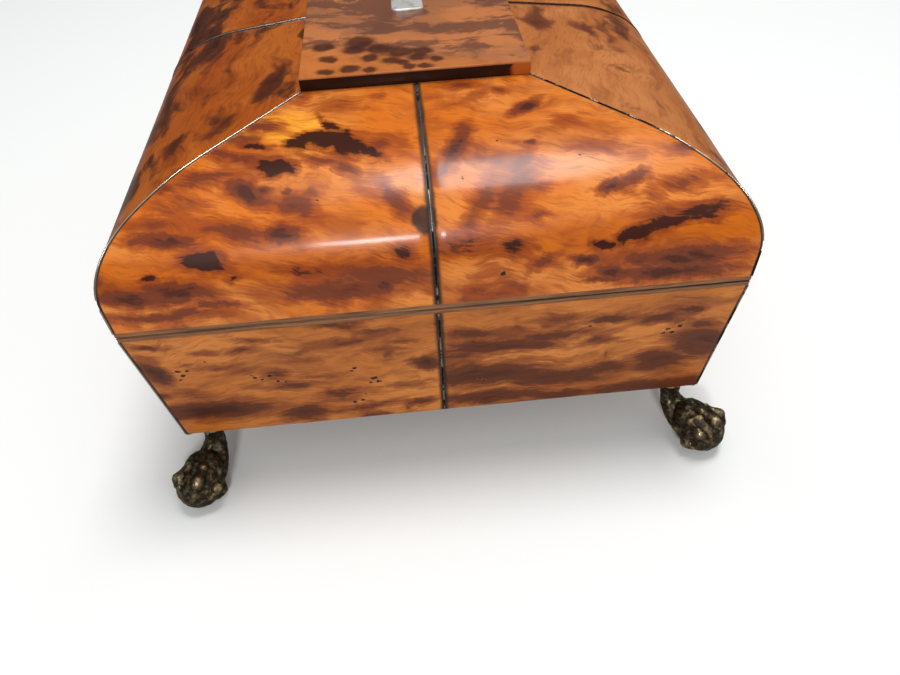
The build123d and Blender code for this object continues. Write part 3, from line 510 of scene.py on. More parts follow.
def tortoiseshell(name, turn, half, sloped, streak_turn, dark_share, seed, marks=(), holes=(), stain=None):
    """Polished blonde tortoiseshell: honey ground, russet streaks, umber clouds and dark marks."""
    # The lid's front side takes darker tints, which are painted shade
    tints = {270: FRONT_PAINTED_SHADE_TINTS, 90: BACK_TINTS}.get(turn, LID_TINTS) if sloped else BASE_TINTS
    f = Finish(name, Roughness=0.34, Coat_Weight=0.2, Coat_Roughness=0.14, Specular_IOR_Level=0.24)
    along, height = side_coordinates(f, turn, half, sloped)
    plate = f.reckon("GREATER_THAN", along, 0.0)
    flat = f.join(along, height, 0.0)
    sheet = f.join(along, height, f.plus(f.times(plate, 37.0), seed))
    bent = f.warp(sheet, 0.03, 16.0)
    bent = f.warp(bent, 0.11, 4.0)
    streaks = f.drawn(bent, streak_turn, (0.034, 0.14, 0.2), 5.0, 0.55)
    clouds = f.drawn(bent, streak_turn, (0.022, 0.06, 0.2), 4.0, 0.5, (7, 3, 0))
    glow = f.drawn(bent, streak_turn, (0.014, 0.034, 0.1), 3.0, 0.5, (3, 9, 0))
    fine = f.drawn(bent, streak_turn, (0.09, 0.5, 0.2), 5.0, 0.6, (2, 6, 0))
    colour = f.mix(f.ease(glow, 0.38, 0.62), tints["honey"], tints["peach"])
    # With a stain, the near side's first plate also gets painted light: a bright orange patch high up
    if stain:
        at, up, half_length, half_width, glow_turn = LID_PAINTED_LIGHT
        lit = spot(f, f.warp(flat, 0.06, 14.0), at, up, half_length, half_width, glow_turn)
        colour = f.lay(colour, tint(255, 168, 48), lit, 1.3, 0.4, 0.9)
    # Painted shade: a deeper amber band where the lid turns over its shoulder and reflects the dim room
    # rather than the bright ceiling
    if sloped:
        painted_shoulder_shade = f.plus(height, f.times(f.minus(clouds, 0.5), 16.0))
        painted_shoulder_shade = f.times(f.ease(painted_shoulder_shade, 8.0, 14.0), f.ease(painted_shoulder_shade, 25.0, 20.0))
        colour = f.mix(f.times(painted_shoulder_shade, 0.9), colour, tints["amber"])
    grain = f.drawn(bent, streak_turn, (0.16, 1.5, 0.2), 4.0, 0.6, (5, 2, 0))
    both = f.plus(f.times(clouds, 0.62), f.times(streaks, 0.38))
    edge = 0.60 - dark_share * 0.13
    for shade, field, low, high, strength in (
        ("russet", clouds, 0.50, 0.66, 0.62),
        ("russet", streaks, 0.46, 0.70, 0.7),
        ("russet", fine, 0.50, 0.72, 0.35),
        ("russet", grain, 0.48, 0.66, 0.4),
        ("umber", both, edge, edge + 0.09, 0.85),
        ("dark", both, edge + 0.09, edge + 0.20, 0.8),
    ):
        colour = f.lay(colour, tints[shade], field, low, high, strength)
    ragged = f.warp(f.warp(flat, 0.09, 5.0), 0.35, 2.6)
    ragged = f.warp(ragged, 1.1, 0.9)
    fields = {"umber": 0.0, "dark": 0.0}
    for at, up, half_length, half_width, mark_turn, depth in marks:
        kind = "umber" if depth > 0 else "dark"
        distance = spot(f, ragged, at, up, half_length, half_width, mark_turn)
        share = f.line(distance, 0.35, 1.95 if sloped else 2.1, abs(depth), 0.0)
        fields[kind] = f.reckon("MAXIMUM", fields[kind], share)
    if marks:
        mottle = f.plus(f.times(streaks, 0.5), f.times(fine, 0.5))
        mottle = f.times(f.minus(mottle, 0.5), 1.1)
        mottle = f.plus(mottle, f.times(f.minus(grain, 0.5), 0.45))
        umber = f.plus(fields["umber"], mottle)
        colour = f.lay(colour, tints["russet"], umber, 0.10, 0.42, 0.8)
        colour = f.lay(colour, tints["umber"], umber, 0.40, 0.64, 0.86)
        colour = f.lay(colour, tint(62, 28, 20), umber, 0.72, 1.0, 0.8)
        dark = f.plus(fields["dark"], mottle)
        colour = f.lay(colour, tint(140, 58, 12), dark, 0.10, 0.42, 0.8)
        colour = f.lay(colour, tints["dark"], dark, 0.42, 0.60, 0.95)
    pits = 0.0
    rough_edge = f.warp(f.warp(flat, 0.8, 1.6), 2.2, 0.8)
    for at, up, radius in holes:
        distance = spot(f, rough_edge, at, up, radius, radius * 0.7, 0)
        pits = f.reckon("MAXIMUM", pits, f.line(distance, 0.3, 2.2, 1.0, 0.0))
    # The holes are only bumped in, so their near-black middles are painted shade inside them
    if holes:
        pits = f.minus(pits, f.times(f.noise(flat, 1.6, 3.0), 0.35))
        colour = f.lay(colour, tint(196, 128, 72), pits, 0.05, 0.3, 0.35)
        colour = f.lay(colour, tint(40, 16, 8), pits, 0.3, 0.55, 0.95)
    seam = f.plus(f.reckon("ABSOLUTE", along), f.times(streaks, 1.2))
    colour = f.lay(colour, SEAM_STAIN, seam, 2.6, 1.3, 0.85)
    if stain:
        at, up, radius = stain
        edge = spot(f, f.warp(flat, 0.3, 2.4), at, up, radius, radius * 1.15, 0)
        colour = f.lay(colour, tint(46, 32, 28), edge, 1.15, 0.75, 0.9)
    f.set("Base Color", colour)
    scuffs = f.drawn(flat, 20, (0.5, 4.0, 1), 5.0, 0.7)
    f.set("Roughness", f.line(scuffs, 0.3, 0.75, 0.26, 0.46))
    f.bump(f.noise(flat, 0.06, 2.0), 0.5, 0.3)
    f.bump(f.noise(flat, 1.4, 4.0, 0.7), 0.03, 0.4)
    if holes:
        f.bump(f.minus(1.0, f.ease(pits, 0.3, 0.7)), 0.4, 0.8)
    return f.material


# Round marks in the tablet's shell: along, across, radius
TABLET_SPOTS = (
    (50.0, -28.6, 2.7), (58.0, -21.5, 2.7), (50.5, -14.6, 2.8), (58.8, -29.4, 2.3), (59.4, -14.8, 2.2),
    (54.0, -7.6, 3.0), (59.4, -1.6, 2.2), (40.0, -30.0, 3.4), (59.6, 3.4, 2.0), (55.0, 7.0, 2.3),
    (48.0, -4.0, 3.8), (48.5, 3.0, 3.2), (44.0, -20.0, 3.6), (56.0, -3.6, 2.2), (53.0, 1.4, 2.6),
    (44.5, -11.0, 4.2), (38.0, -18.0, 5.0),
)


def plain_tortoiseshell():
    """The shell on the tablet: brown, streaked across the box, with round spots near its right edge."""
    f = Finish("tablet_shell", Roughness=0.34, Coat_Weight=0.12, Coat_Roughness=0.18)
    f.set("Specular IOR Level", 0.24)
    bent = f.warp(f.warp(f.place, 0.05, 9.0), 0.2, 3.0)
    streaks = f.drawn(bent, 4, (0.12, 0.035, 0.2), 5.0, 0.58, (4, 1, 0))
    clouds = f.drawn(bent, 4, (0.06, 0.022, 0.2), 4.0, 0.5, (1, 5, 0))
    colour = f.mix(f.ease(clouds, 0.40, 0.60), tint(186, 114, 66), tint(158, 100, 66))
    brown = f.ease(streaks, 0.47, 0.57, 0.0, 0.85)
    colour = f.mix(brown, colour, tint(106, 66, 50))
    near = f.ease(f.plus(f.parts(bent)[0], f.times(f.parts(bent)[1], -0.3)), 46, 58)
    colour = f.mix(f.times(near, 0.7), colour, tint(196, 112, 44))
    spots = f.warp(f.warp(f.place, 0.12, 4.0), 0.5, 1.8)
    for at, across, size in TABLET_SPOTS:
        distance = spot(f, spots, at, across, size, size * 1.2, 0)
        colour = f.lay(colour, tint(66, 30, 22), distance, 1.35, 0.6, 0.88)
    height = f.parts(f.place)[2]
    rim = f.ease(height, 128.4, 128.0)
    across = f.parts(f.place)[1]
    edge = f.ease(f.plus(across, f.times(streaks, 6.0)), 34, 36)
    dark_edge = f.mix(edge, tint(34, 12, 6), tint(172, 88, 28))
    f.set("Base Color", f.mix(rim, colour, dark_edge))
    f.roughen(0.3, 0.3, 0.08, 2.0)
    f.roughen(0.03, 0.4, 1.4, 4.0, 0.7)
    return f.material


def stringing_finish():
    """Dark filler in the seams, dull, with a little brown in it."""
    f = Finish("stringing", Roughness=0.5)
    stain = f.noise(f.place, 0.25, 4.0, 0.6)
    f.set("Base Color", f.mix(f.ease(stain, 0.42, 0.62), tint(34, 24, 20), tint(74, 50, 34)))
    f.roughen(0.08, 0.6, 1.2, 3.0)
    return f.material


def wire_finish():
    """Silver wire, bright where it is rubbed and nearly black where it has tarnished."""
    f = Finish("seam_wire", Metallic=1.0)
    across = f.parts(f.place)[1]
    length = f.parts(f.place)[0]
    wear = f.noise(f.place, 0.11, 5.0, 0.65)
    front = f.ease(across, 20.0, -60.0, -0.10, 0.16)
    right = f.ease(length, 0.0, 40.0, 0.0, 0.13)
    bright = f.ease(f.plus(f.plus(wear, front), right), 0.52, 0.60)
    f.set("Base Color", f.mix(bright, tint(46, 38, 32), tint(206, 196, 178)))
    f.set("Roughness", f.line(bright, 0, 1, 0.6, 0.28))
    return f.material


def wood(name, pale, dark, grain, gloss):
    """Wood whose grain runs along X or Y."""
    f = Finish(name, Roughness=gloss)
    fine = {"X": (0.02, 0.5, 0.5), "Y": (0.5, 0.02, 0.5)}[grain]
    bent = f.warp(f.place, 0.03, 5.0)
    lines = f.drawn(bent, 0, fine, 5.0, 0.6)
    rings = f.drawn(bent, 0, [value * 0.2 for value in fine], 3.0, 0.5)
    share = f.plus(f.times(lines, 0.6), f.times(rings, 0.4))
    f.set("Base Color", f.mix(f.ease(share, 0.4, 0.62), pale, dark))
    f.bump(lines, 0.06, 0.5)
    return f.material


def edging_finish():
    """Pale hardwood with brown dirt rubbed into it."""
    f = Finish("rim_edging", Roughness=0.42)
    bent = f.warp(f.place, 0.05, 3.0)
    grime = f.drawn(bent, 0, (0.05, 0.05, 1.2), 5.0, 0.65)
    broad = f.noise(f.place, 0.018, 3.0)
    share = f.plus(f.times(grime, 0.7), f.times(broad, 0.3))
    colour = f.mix(f.ease(share, 0.38, 0.62), tint(146, 98, 58), tint(92, 56, 34))
    height = f.reckon("ABSOLUTE", f.minus(f.parts(f.place)[2], JOINT_Z / MM))
    level = f.reckon("ABSOLUTE", f.parts(f.add("TexCoord", {}).outputs["Normal"])[2])
    dark = f.times(f.ease(height, 0.55, 0.25, 0.0, 0.85), f.ease(level, 0.6, 0.3))
    colour = f.mix(dark, colour, tint(40, 24, 16))
    f.set("Base Color", colour)
    f.bump(grime, 0.06, 0.5)
    return f.material


def brass(name, bright, dull, wear_low, wear_high):
    """Old brass: brown in the hollows, gold where it is rubbed."""
    f = Finish(name, Metallic=1.0)
    blotches = f.noise(f.place, 0.35, 5.0, 0.6)
    rubbed = f.ease(f.plus(f.pointiness(), f.times(blotches, 0.08)), wear_low, wear_high)
    f.set("Base Color", f.mix(rubbed, dull, bright))
    f.set("Roughness", f.line(rubbed, 0, 1, 0.5, 0.28))
    f.roughen(0.05, 0.5, 1.6, 4.0, 0.6)
    return f.material


def cast_bronze():
    """Dark patinated casting, olive-brown on its swellings and gold where it has been rubbed, with painted
    glints on the knuckles, claws and the ball's lower rim.
    """
    f = Finish("cast_bronze", Metallic=0.9)
    # The rubbed attribute holds rubbing and painted glints alike
    rubbed = f.add("Attribute", {}, attribute_name="rubbed").outputs["Fac"]
    pointed = f.times(f.minus(f.pointiness(), 0.5), 5.0)
    blotches = f.times(f.minus(f.noise(f.place, 0.55, 6.0, 0.65), 0.5), 1.8)
    share = f.plus(f.times(rubbed, 0.62), f.plus(pointed, blotches))
    colour = f.mix(f.ease(share, -0.1, 0.40), tint(58, 50, 40), tint(132, 116, 86))
    # Gold: rubbed brass, and painted glints where the knuckles and claws would catch the light
    colour = f.mix(f.ease(share, 0.42, 0.95), colour, tint(232, 214, 164))
    f.set("Base Color", colour)
    f.set("Roughness", f.line(share, 0.0, 0.9, 0.44, 0.24))
    f.roughen(0.35, 0.7, 0.8, 5.0, 0.65)
    return f.material


def steel_finish():
    f = Finish("screws", Metallic=1.0)
    rust = f.ease(f.noise(f.place, 0.8, 5.0, 0.65), 0.5, 0.66)
    f.set("Base Color", f.mix(rust, tint(120, 118, 114), tint(84, 54, 38)))
    f.set("Roughness", f.line(rust, 0, 1, 0.36, 0.7))
    f.roughen(0.04, 0.5, 2.2, 3.0)
    return f.material


def plaque_finish():
    """Bright silver plate with fine rubbing marks."""
    f = Finish("name_plaque", Metallic=0.5)
    rubs = f.drawn(f.place, 30, (0.15, 3.0, 1), 5.0, 0.7)
    haze = f.noise(f.place, 0.2, 3.0)
    f.set("Base Color", f.mix(f.ease(haze, 0.45, 0.7), tint(222, 220, 216), tint(190, 184, 174)))
    f.set("Roughness", f.line(rubs, 0.3, 0.7, 0.34, 0.5))
    f.bump(rubs, 0.01, 0.4)
    return f.material


def paper_finish():
    """Lining paper, rose faded to buff, with a small sprigged diaper pressed in it."""
    f = Finish("lining_paper", Roughness=0.8, Specular_IOR_Level=0.2)
    x, y, z = f.parts(f.place)
    along = f.plus(x, y)
    wave_one = f.reckon("SINE", f.times(f.plus(along, z), 1.1))
    wave_two = f.reckon("SINE", f.times(f.minus(f.minus(x, y), z), 1.1))
    diaper = f.ease(f.times(wave_one, wave_two), 0.35, 0.55)
    fade = f.noise(f.place, 0.02, 4.0)
    ground = f.mix(f.ease(fade, 0.35, 0.7), tint(150, 92, 86), tint(176, 132, 110))
    f.set("Base Color", f.mix(diaper, ground, f.mix(0.5, ground, tint(206, 172, 138))))
    f.roughen(0.03, 0.5, 1.5, 4.0, 0.6)
    return f.material


def silk(name, pale, deep):
    """Faded silk with a fine ribbed weave."""
    f = Finish(name, Roughness=0.42, Sheen_Weight=0.5, Sheen_Roughness=0.4)
    x, y, z = f.parts(f.place)
    rib = f.reckon("SINE", f.times(x, 9.0))
    cross = f.reckon("SINE", f.times(y, 4.5))
    weave = f.plus(f.times(rib, 0.5), f.times(cross, 0.25))
    fade = f.noise(f.place, 0.03, 4.0, 0.55)
    threads = f.drawn(f.place, 0, (1.5, 0.08, 1), 3.0)
    share = f.plus(f.times(fade, 0.75), f.times(threads, 0.25))
    f.set("Base Color", f.mix(f.ease(share, 0.36, 0.66), pale, deep))
    f.bump(weave, 0.04, 0.5)
    return f.material


def velvet_finish():
    """Worn velvet on the pincushion."""
    f = Finish("pincushion_velvet", Roughness=0.85, Sheen_Weight=0.8, Sheen_Roughness=0.35)
    nap = f.noise(f.place, 0.9, 4.0, 0.7)
    worn = f.noise(f.place, 0.05, 4.0)
    colour = f.mix(f.ease(worn, 0.4, 0.65), tint(112, 30, 38), tint(146, 60, 56))
    f.set("Base Color", f.mix(f.ease(nap, 0.35, 0.75), colour, tint(84, 22, 30)))
    f.bump(nap, 0.12, 0.6)
    return f.material


def bone_finish():
    """Turned bone, ivory-coloured, with short brown flecks."""
    f = Finish("bone", Roughness=0.3)
    flecks = f.ease(f.drawn(f.place, 0, (1.6, 1.6, 0.25), 4.0, 0.7), 0.62, 0.74)
    mellow = f.noise(f.place, 0.12, 3.0)
    ground = f.mix(f.ease(mellow, 0.4, 0.65), tint(232, 220, 190), tint(212, 192, 150))
    f.set("Base Color", f.mix(flecks, ground, tint(150, 116, 76)))
    f.bump(flecks, 0.02, 0.4)
    return f.material


# Plates of shell

PLATE_EDGE = 0.16 * MM
WAVINESS = 0.22 * MM
WIRE_RADIUS = 0.28 * MM
GRID_LONG = 48


def upright_grid(rows, low, high, half_run, at):
    """A grid in the plane of a side, from one height to another."""
    deselect()
    place = (at, 0, (low + high) / 2)
    turn = (0, math.radians(90), 0)
    bpy.ops.mesh.primitive_grid_add(
        x_subdivisions=rows, y_subdivisions=GRID_LONG, size=1, location=place, rotation=turn
    )
    grid = bpy.context.object
    grid.scale = (high - low, 2 * half_run, 1)
    settle(grid)
    return grid


def lid_skin(half, other, tablet):
    """The outer face of one side of the lid, turned up from its wall over the shoulder to the tablet."""
    low = JOINT_Z + RIM_GAP + EDGING
    wall_top = JOINT_Z + LID_WALL_RISE
    skin = upright_grid(3, low, wall_top, other, half)
    edit(skin)
    pick(lambda at: at.z > wall_top - A_HAIR)
    shoulder = Vector((half - SHOULDER_RADIUS, 0, wall_top))
    turn = math.radians(SHOULDER_TURN)
    bpy.ops.mesh.spin(steps=14, angle=turn, center=shoulder, axis=(0, 1, 0))
    crown = shoulder - (CROWN_RADIUS - SHOULDER_RADIUS) * Vector((math.cos(turn), 0, math.sin(turn)))
    slope = math.radians(CROWN_SLOPE)
    bpy.ops.mesh.spin(steps=7, angle=math.radians(90) - turn - slope, center=crown, axis=(0, 1, 0))
    run = tablet - crown.x - CROWN_RADIUS * math.sin(slope)
    steps = 5
    for _ in range(steps):
        move = {"value": (run / steps, 0, -run / steps * math.tan(slope))}
        bpy.ops.mesh.extrude_region_move(TRANSFORM_OT_translate=move)
    face_outwards()
    return skin


BASE_LEAN = math.atan(BASE_DRAW_IN / BASE_HEIGHT)
BASE_EDGE_TURN = math.radians(57)


def base_reach(half, height):
    return half - BASE_DRAW_IN * (JOINT_Z - height) / BASE_HEIGHT


def base_skin(half, other):
    """The outer face of one side of the base, with its bottom edge rounded under."""
    high = JOINT_Z - RIM_GAP - EDGING
    tangent = BASE_EDGE_ROUND * math.tan((math.radians(90) - BASE_LEAN) / 2)
    low = FOOT_HEIGHT + tangent * math.cos(BASE_LEAN)
    skin = upright_grid(12, low, high, other, 0)
    for point in skin.data.vertices:
        point.co.x = base_reach(half, point.co.z)
    edit(skin)
    pick(lambda at: at.z < low + A_HAIR)
    centre = (base_reach(half, FOOT_HEIGHT) - tangent, 0, FOOT_HEIGHT + BASE_EDGE_ROUND)
    bpy.ops.mesh.spin(steps=6, angle=BASE_EDGE_TURN, center=centre, axis=(0, -1, 0))
    face_outwards()
    return skin


def copy_of(piece):
    twin = piece.copy()
    twin.data = piece.data.copy()
    bpy.context.collection.objects.link(twin)
    return twin


def cut(piece, at, away):
    """Cuts a piece by a plane and keeps what lies on the near side."""
    edit(piece)
    bpy.ops.mesh.bisect(plane_co=at, plane_no=away, clear_outer=True, use_fill=True)
    leave()


def old_warp():
    """The slow waviness of thin plates that have lain on wood for a long time."""
    texture = bpy.data.textures.new("old_warp", "CLOUDS")
    texture.noise_scale = 0.028
    texture.noise_depth = 1
    return texture


WARP = old_warp()


def plates(skin, part, side, half, other, finishes):
    """The two plates of one side, cut from its skin, with room for the stringing round them."""
    modify(skin, "DISPLACE", texture=WARP, strength=WAVINESS, mid_level=0.5)
    modify(skin, "SOLIDIFY", thickness=SHELL, offset=-1)
    margin = MITRE_STRING / math.sqrt(2)
    for number, end in enumerate((-1, 1)):
        plate = copy_of(skin)
        cut(plate, (half, end * (other - margin), 0), (-1, end, 0))
        cut(plate, (0, end * STRING / 2, 0), (0, -end, 0))
        ease_edges(plate, PLATE_EDGE, 45)
        plate.rotation_euler.z = math.radians(SIDES[side])
        settle(plate)
        smooth(plate, 30)
        name = f"{part}_{side}_plate_{number + 1}"
        dress(plate, name, part, finishes[number], "tortoiseshell", f"{part}_{side}_shell")
    bpy.data.objects.remove(skin)


def seam_wire(skin, at, across, turn, name, body, finish):
    """A silver wire that lies in a seam: the line where a plane cuts the skin, given thickness."""
    wire = copy_of(skin)
    edit(wire)
    bpy.ops.mesh.bisect(plane_co=at, plane_no=across)
    facing = Vector(across).normalized()
    pick(lambda point: abs((point - Vector(at)).dot(facing)) > A_HAIR)
    bpy.ops.mesh.delete(type="VERT")
    leave()
    wire.rotation_euler.z = math.radians(turn)
    settle(wire)
    bpy.ops.object.convert(target="CURVE")
    wire.data.bevel_depth = WIRE_RADIUS
    wire.data.bevel_resolution = 2
    wire.data.use_fill_caps = True
    bpy.ops.object.convert(target="MESH")
    smooth(bpy.context.object, 60)
    return dress(bpy.context.object, name, body, finish, "silver_plaque")


# Feet

LEG_X = 0.1155
LEG_Y = 0.0881
FOOT_HEADINGS = {
    ("back", "right"): 38, ("back", "left"): 146, ("front", "right"): -21, ("front", "left"): 210,
}
# Each toe: its turn round the paw, how far down the ball its claw ends, and its size
TOES = ((0, 124, 1.12), (50, 120, 1.0), (-50, 120, 1.0), (104, 112, 0.92), (-104, 112, 0.92))
# Along a toe: angle down the ball, height above it and radius, in degrees and millimetres
TOE_STEPS = (
    (16, -1.0, 1.9), (28, -0.2, 1.7), (40, 0.1, 1.5), (50, 0.35, 1.6), (60, 0.0, 1.4), (70, 0.0, 1.5),
    (79, 0.1, 1.9), (87, 0.4, 2.2), (96, 0.1, 1.7), (103, 0.1, 1.2),
)
CLAW_RADII = (1.15, 1.0, 0.75, 0.45)
# Down the stem: reach, height, half depth and half width in millimetres
STEM_STEPS = (
    (0.0, 24.2, 3.7, 4.3), (0.0, 21.5, 3.25, 3.8), (0.1, 18.5, 3.1, 3.7), (0.7, 15.4, 3.3, 4.0),
    (2.2, 12.6, 3.8, 4.7), (4.6, 10.4, 4.4, 5.8), (7.8, 9.0, 5.2, 7.0), (11.4, 8.5, 6.2, 8.0),
)
FOOT_REACH = 17.4
BALL_RADIUS = 8.3
BALL_Z = 7.8
POLE_TILT = 24.0


def lump(at, radius, stretch=(1, 1, 1), lean=0.0):
    """A rounded lump of wax in the foot's own frame, in millimetres, leaning in the plane of the leg."""
    deselect()
    bpy.ops.mesh.primitive_ico_sphere_add(subdivisions=4, radius=radius * MM, location=Vector(at) * MM)
    piece = bpy.context.object
    piece.scale = stretch
    piece.rotation_euler.y = math.radians(lean)
    settle(piece)
    return piece


def roll(start, end, first, last):
    """A tapered roll of wax between two points."""
    run = Vector(end) - Vector(start)
    deselect()
    bpy.ops.mesh.primitive_cone_add(
        vertices=24, radius1=first * MM, radius2=last * MM, depth=run.length * MM,
        location=(Vector(start) + Vector(end)) / 2 * MM, rotation=run.to_track_quat("Z", "Y").to_euler(),
    )
    piece = bpy.context.object
    settle(piece)
    return piece


def on_ball(fan, angle, reach):
    """A point over the ball: fan turns round the paw, angle goes down a toe from the leg."""
    tilt = math.radians(POLE_TILT)
    pole = Vector((-math.cos(tilt), 0, math.sin(tilt)))
    up = Vector((math.sin(tilt), 0, math.cos(tilt)))
    towards = up * math.cos(math.radians(fan)) + Vector((0, 1, 0)) * math.sin(math.radians(fan))
    centre = Vector((FOOT_REACH, 0, BALL_Z))
    out = pole * math.cos(math.radians(angle)) + towards * math.sin(math.radians(angle))
    return centre + out * (BALL_RADIUS + reach)


def wax_toe(fan, end, size):
    """A toe with two knuckles, loose skin between them and a hooked claw that grips the ball."""
    pieces = []
    last = None
    for angle, lift, radius in TOE_STEPS:
        at = on_ball(fan, angle, lift)
        pieces.append(lump(at, radius * size))
        if last:
            pieces.append(roll(last[0], at, last[1] * 0.9 * size, radius * 0.9 * size))
        last = (at, radius)
    claw_start = TOE_STEPS[-1][0]
    for step, radius in enumerate(CLAW_RADII):
        angle = claw_start + (end - claw_start) * (step + 1) / len(CLAW_RADII)
        at = on_ball(fan, angle, 0.15 - 0.1 * step)
        pieces.append(roll(last[0], at, last[1] * 0.85 * size, radius * size))
        pieces.append(lump(at, radius * size))
        last = (at, radius)
    return pieces


def wax_leg():
    """The stem, which turns out in a gentle S over the paw, with a rib down its outer face."""
    pieces = []
    for (x, z, deep, wide), (next_x, next_z, next_deep, next_wide) in zip(STEM_STEPS, STEM_STEPS[1:]):
        for share in (0.0, 0.33, 0.66, 1.0):
            at = (x + (next_x - x) * share, 0, z + (next_z - z) * share)
            thick = deep + (next_deep - deep) * share
            broad = wide + (next_wide - wide) * share
            pieces.append(lump(at, thick, (1, broad / thick, 0.8)))
    rib = [(3.4, 0, 23.8), (3.1, 0, 19), (3.6, 0, 15.6), (6.6, 0, 14.0)]
    for start, end in zip(rib, rib[1:]):
        pieces.append(roll(start, end, 0.9, 0.9))
        pieces.append(lump(end, 0.95))
    return pieces


def note_rubbing_and_glints(foot, shift):
    """Keeps for each point how bright it is rubbed and how much painted glint it takes: most on knuckles,
    claws and the ball's lower rim.
    """
    spots = []
    for fan, end, size in TOES:
        spots.append((on_ball(fan + shift, 50, 1.9 * size), 1.1))
        spots.append((on_ball(fan + shift, 87, 2.5 * size), 1.7 * size))
        spots.append((on_ball(fan + shift, end, 1.0), 1.2))
    values = []
    for point in foot.data.vertices:
        at = point.co / MM
        nearest = min((at - middle).length / reach for middle, reach in spots)
        rim = max(0.0, 1.0 - at.z / 3.0) if at.x > FOOT_REACH - 2 else 0.0
        values.append(max(math.exp(-nearest * nearest), 0.75 * rim))
    # The rubbed attribute carries both rubbing and painted glints
    foot.data.attributes.new("rubbed", "FLOAT", "POINT").data.foreach_set("value", values)


def cast_foot(shift=0):
    """One foot, modelled in lumps, run together into a single skin and roughened like an old casting."""
    pieces = [lump((FOOT_REACH, 0, BALL_Z), BALL_RADIUS)]
    pieces += wax_leg()
    pieces.append(lump((12.8, 0, 11.4), 5.9, (1.3, 1.28, 0.72), 24))
    pieces.append(lump((FOOT_REACH - 2.4, 0, BALL_Z + 0.9), BALL_RADIUS * 0.96, (1.02, 1.08, 0.98)))
    for fan, end, size in TOES:
        pieces += wax_toe(fan + shift, end, size)
    deselect()
    for piece in pieces:
        piece.select_set(True)
    bpy.context.view_layer.objects.active = pieces[0]
    bpy.ops.object.join()
    foot = bpy.context.object
    modify(foot, "REMESH", mode="VOXEL", voxel_size=0.3 * MM)
    modify(foot, "SMOOTH", factor=0.5, iterations=3)
    cast_skin = bpy.data.textures.new("cast_skin", "CLOUDS")
    cast_skin.noise_scale = 0.0019
    cast_skin.noise_depth = 3
    modify(foot, "DISPLACE", texture=cast_skin, strength=0.6 * MM, mid_level=0.5)
    cut(foot, (0, 0, 0), (0, 0, -1))
    cut(foot, (0, 0, FOOT_HEIGHT), (0, 0, 1))
    modify(foot, "DECIMATE", ratio=0.5)
    smooth(foot, 180)
    note_rubbing_and_glints(foot, shift)
    return foot


def place_feet(finish):
    feet = {"front": cast_foot(24), "back": cast_foot()}
    for end, x in (("left", -1), ("right", 1)):
        for part, y in (("front", -1), ("back", 1)):
            twin = copy_of(feet[part])
            twin.rotation_euler.z = math.radians(FOOT_HEADINGS[part, end])
            twin.location = (x * LEG_X, y * LEG_Y, 0)
            settle(twin)
            name = f"foot_{part}_{end}"
            dress(twin, name + "_cast", "base", finish, "patinated_brass", name)
    for foot in feet.values():
        bpy.data.objects.remove(foot)


# Padded pieces

PRESSURE = 4.0
CLOTH_FRAMES = 20
FOLDS = 44
FOLD_DEPTH = 0.55 * MM
FOLDS_START = 12 * MM
FOLDS_FULL = 60 * MM
PULLED_IN = 5.0 * MM
PULL_REACH = 9.0 * MM
FACE_DEPTH = 4.2 * MM
BUTTON_RADIUS = 5.0 * MM
BUTTON_SET_IN = 2.2 * MM
PLEATS = 16
PLEAT_DEPTH = 0.2 * MM
DIMPLE = 0.5 * MM


def hold_back(piece, start, cap, low, high):
    """Keeps each point of a swollen pad near where it began, and inside its bed."""
    for point, place in zip(piece.data.vertices, start):
        move = point.co - place
        if move.length > cap:
            move = move * (cap / move.length)
        point.co = place + move
        for axis in range(3):
            point.co[axis] = min(max(point.co[axis], low[axis]), high[axis])


def stuffed(node, grain, cap, room, bed_height):
    """A pad blown up as cloth from a slightly smaller form, which may pass its first outline by room."""
    piece = merged_copy(node)
    low, high = (Vector(corner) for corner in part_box(node))
    middle = (low + high) / 2
    edit(piece)
    bpy.ops.transform.resize(value=(0.985, 0.985, 0.96), center_override=middle)
    leave()
    modify(piece, "REMESH", mode="VOXEL", voxel_size=grain)
    start = [point.co.copy() for point in piece.data.vertices]
    take(piece)
    cloth = piece.modifiers.new("Cloth", "CLOTH")
    cloth.settings.quality = 6
    cloth.settings.use_pressure = True
    cloth.settings.uniform_pressure_force = PRESSURE
    cloth.settings.effector_weights.gravity = 0
    held = piece.vertex_groups.new(name="held")
    points = piece.data.vertices
    bed = [point.index for point in points if abs(point.co.z - bed_height) < grain * 0.8]
    held.add(bed, 1.0, "REPLACE")
    cloth.settings.vertex_group_mass = "held"
    for number in range(CLOTH_FRAMES):
        bpy.context.scene.frame_set(number + 1)
    bpy.ops.object.modifier_apply(modifier="Cloth")
    bpy.context.scene.frame_set(1)
    hold_back(piece, start, cap, low - Vector(room), high + Vector(room))
    modify(piece, "SUBSURF", levels=1, render_levels=1)
    smooth(piece, 60)
    return piece


def gather(piece, face):
    """Ruches a pad: fine folds run out from a button, which pulls the silk in under it."""
    for point in piece.data.vertices:
        if point.co.z > face + FACE_DEPTH:
            continue
        away = math.hypot(point.co.x, point.co.y)
        turn = math.atan2(point.co.y, point.co.x)
        share = min(max((away - FOLDS_START) / (FOLDS_FULL - FOLDS_START), 0.0), 1.0)
        wave = math.sin(FOLDS * turn + 1.3 * math.sin(5 * turn) + away * 60)
        point.co.z += FOLD_DEPTH * share * wave
        point.co.z += PULLED_IN * math.exp(-((away / PULL_REACH) ** 2))


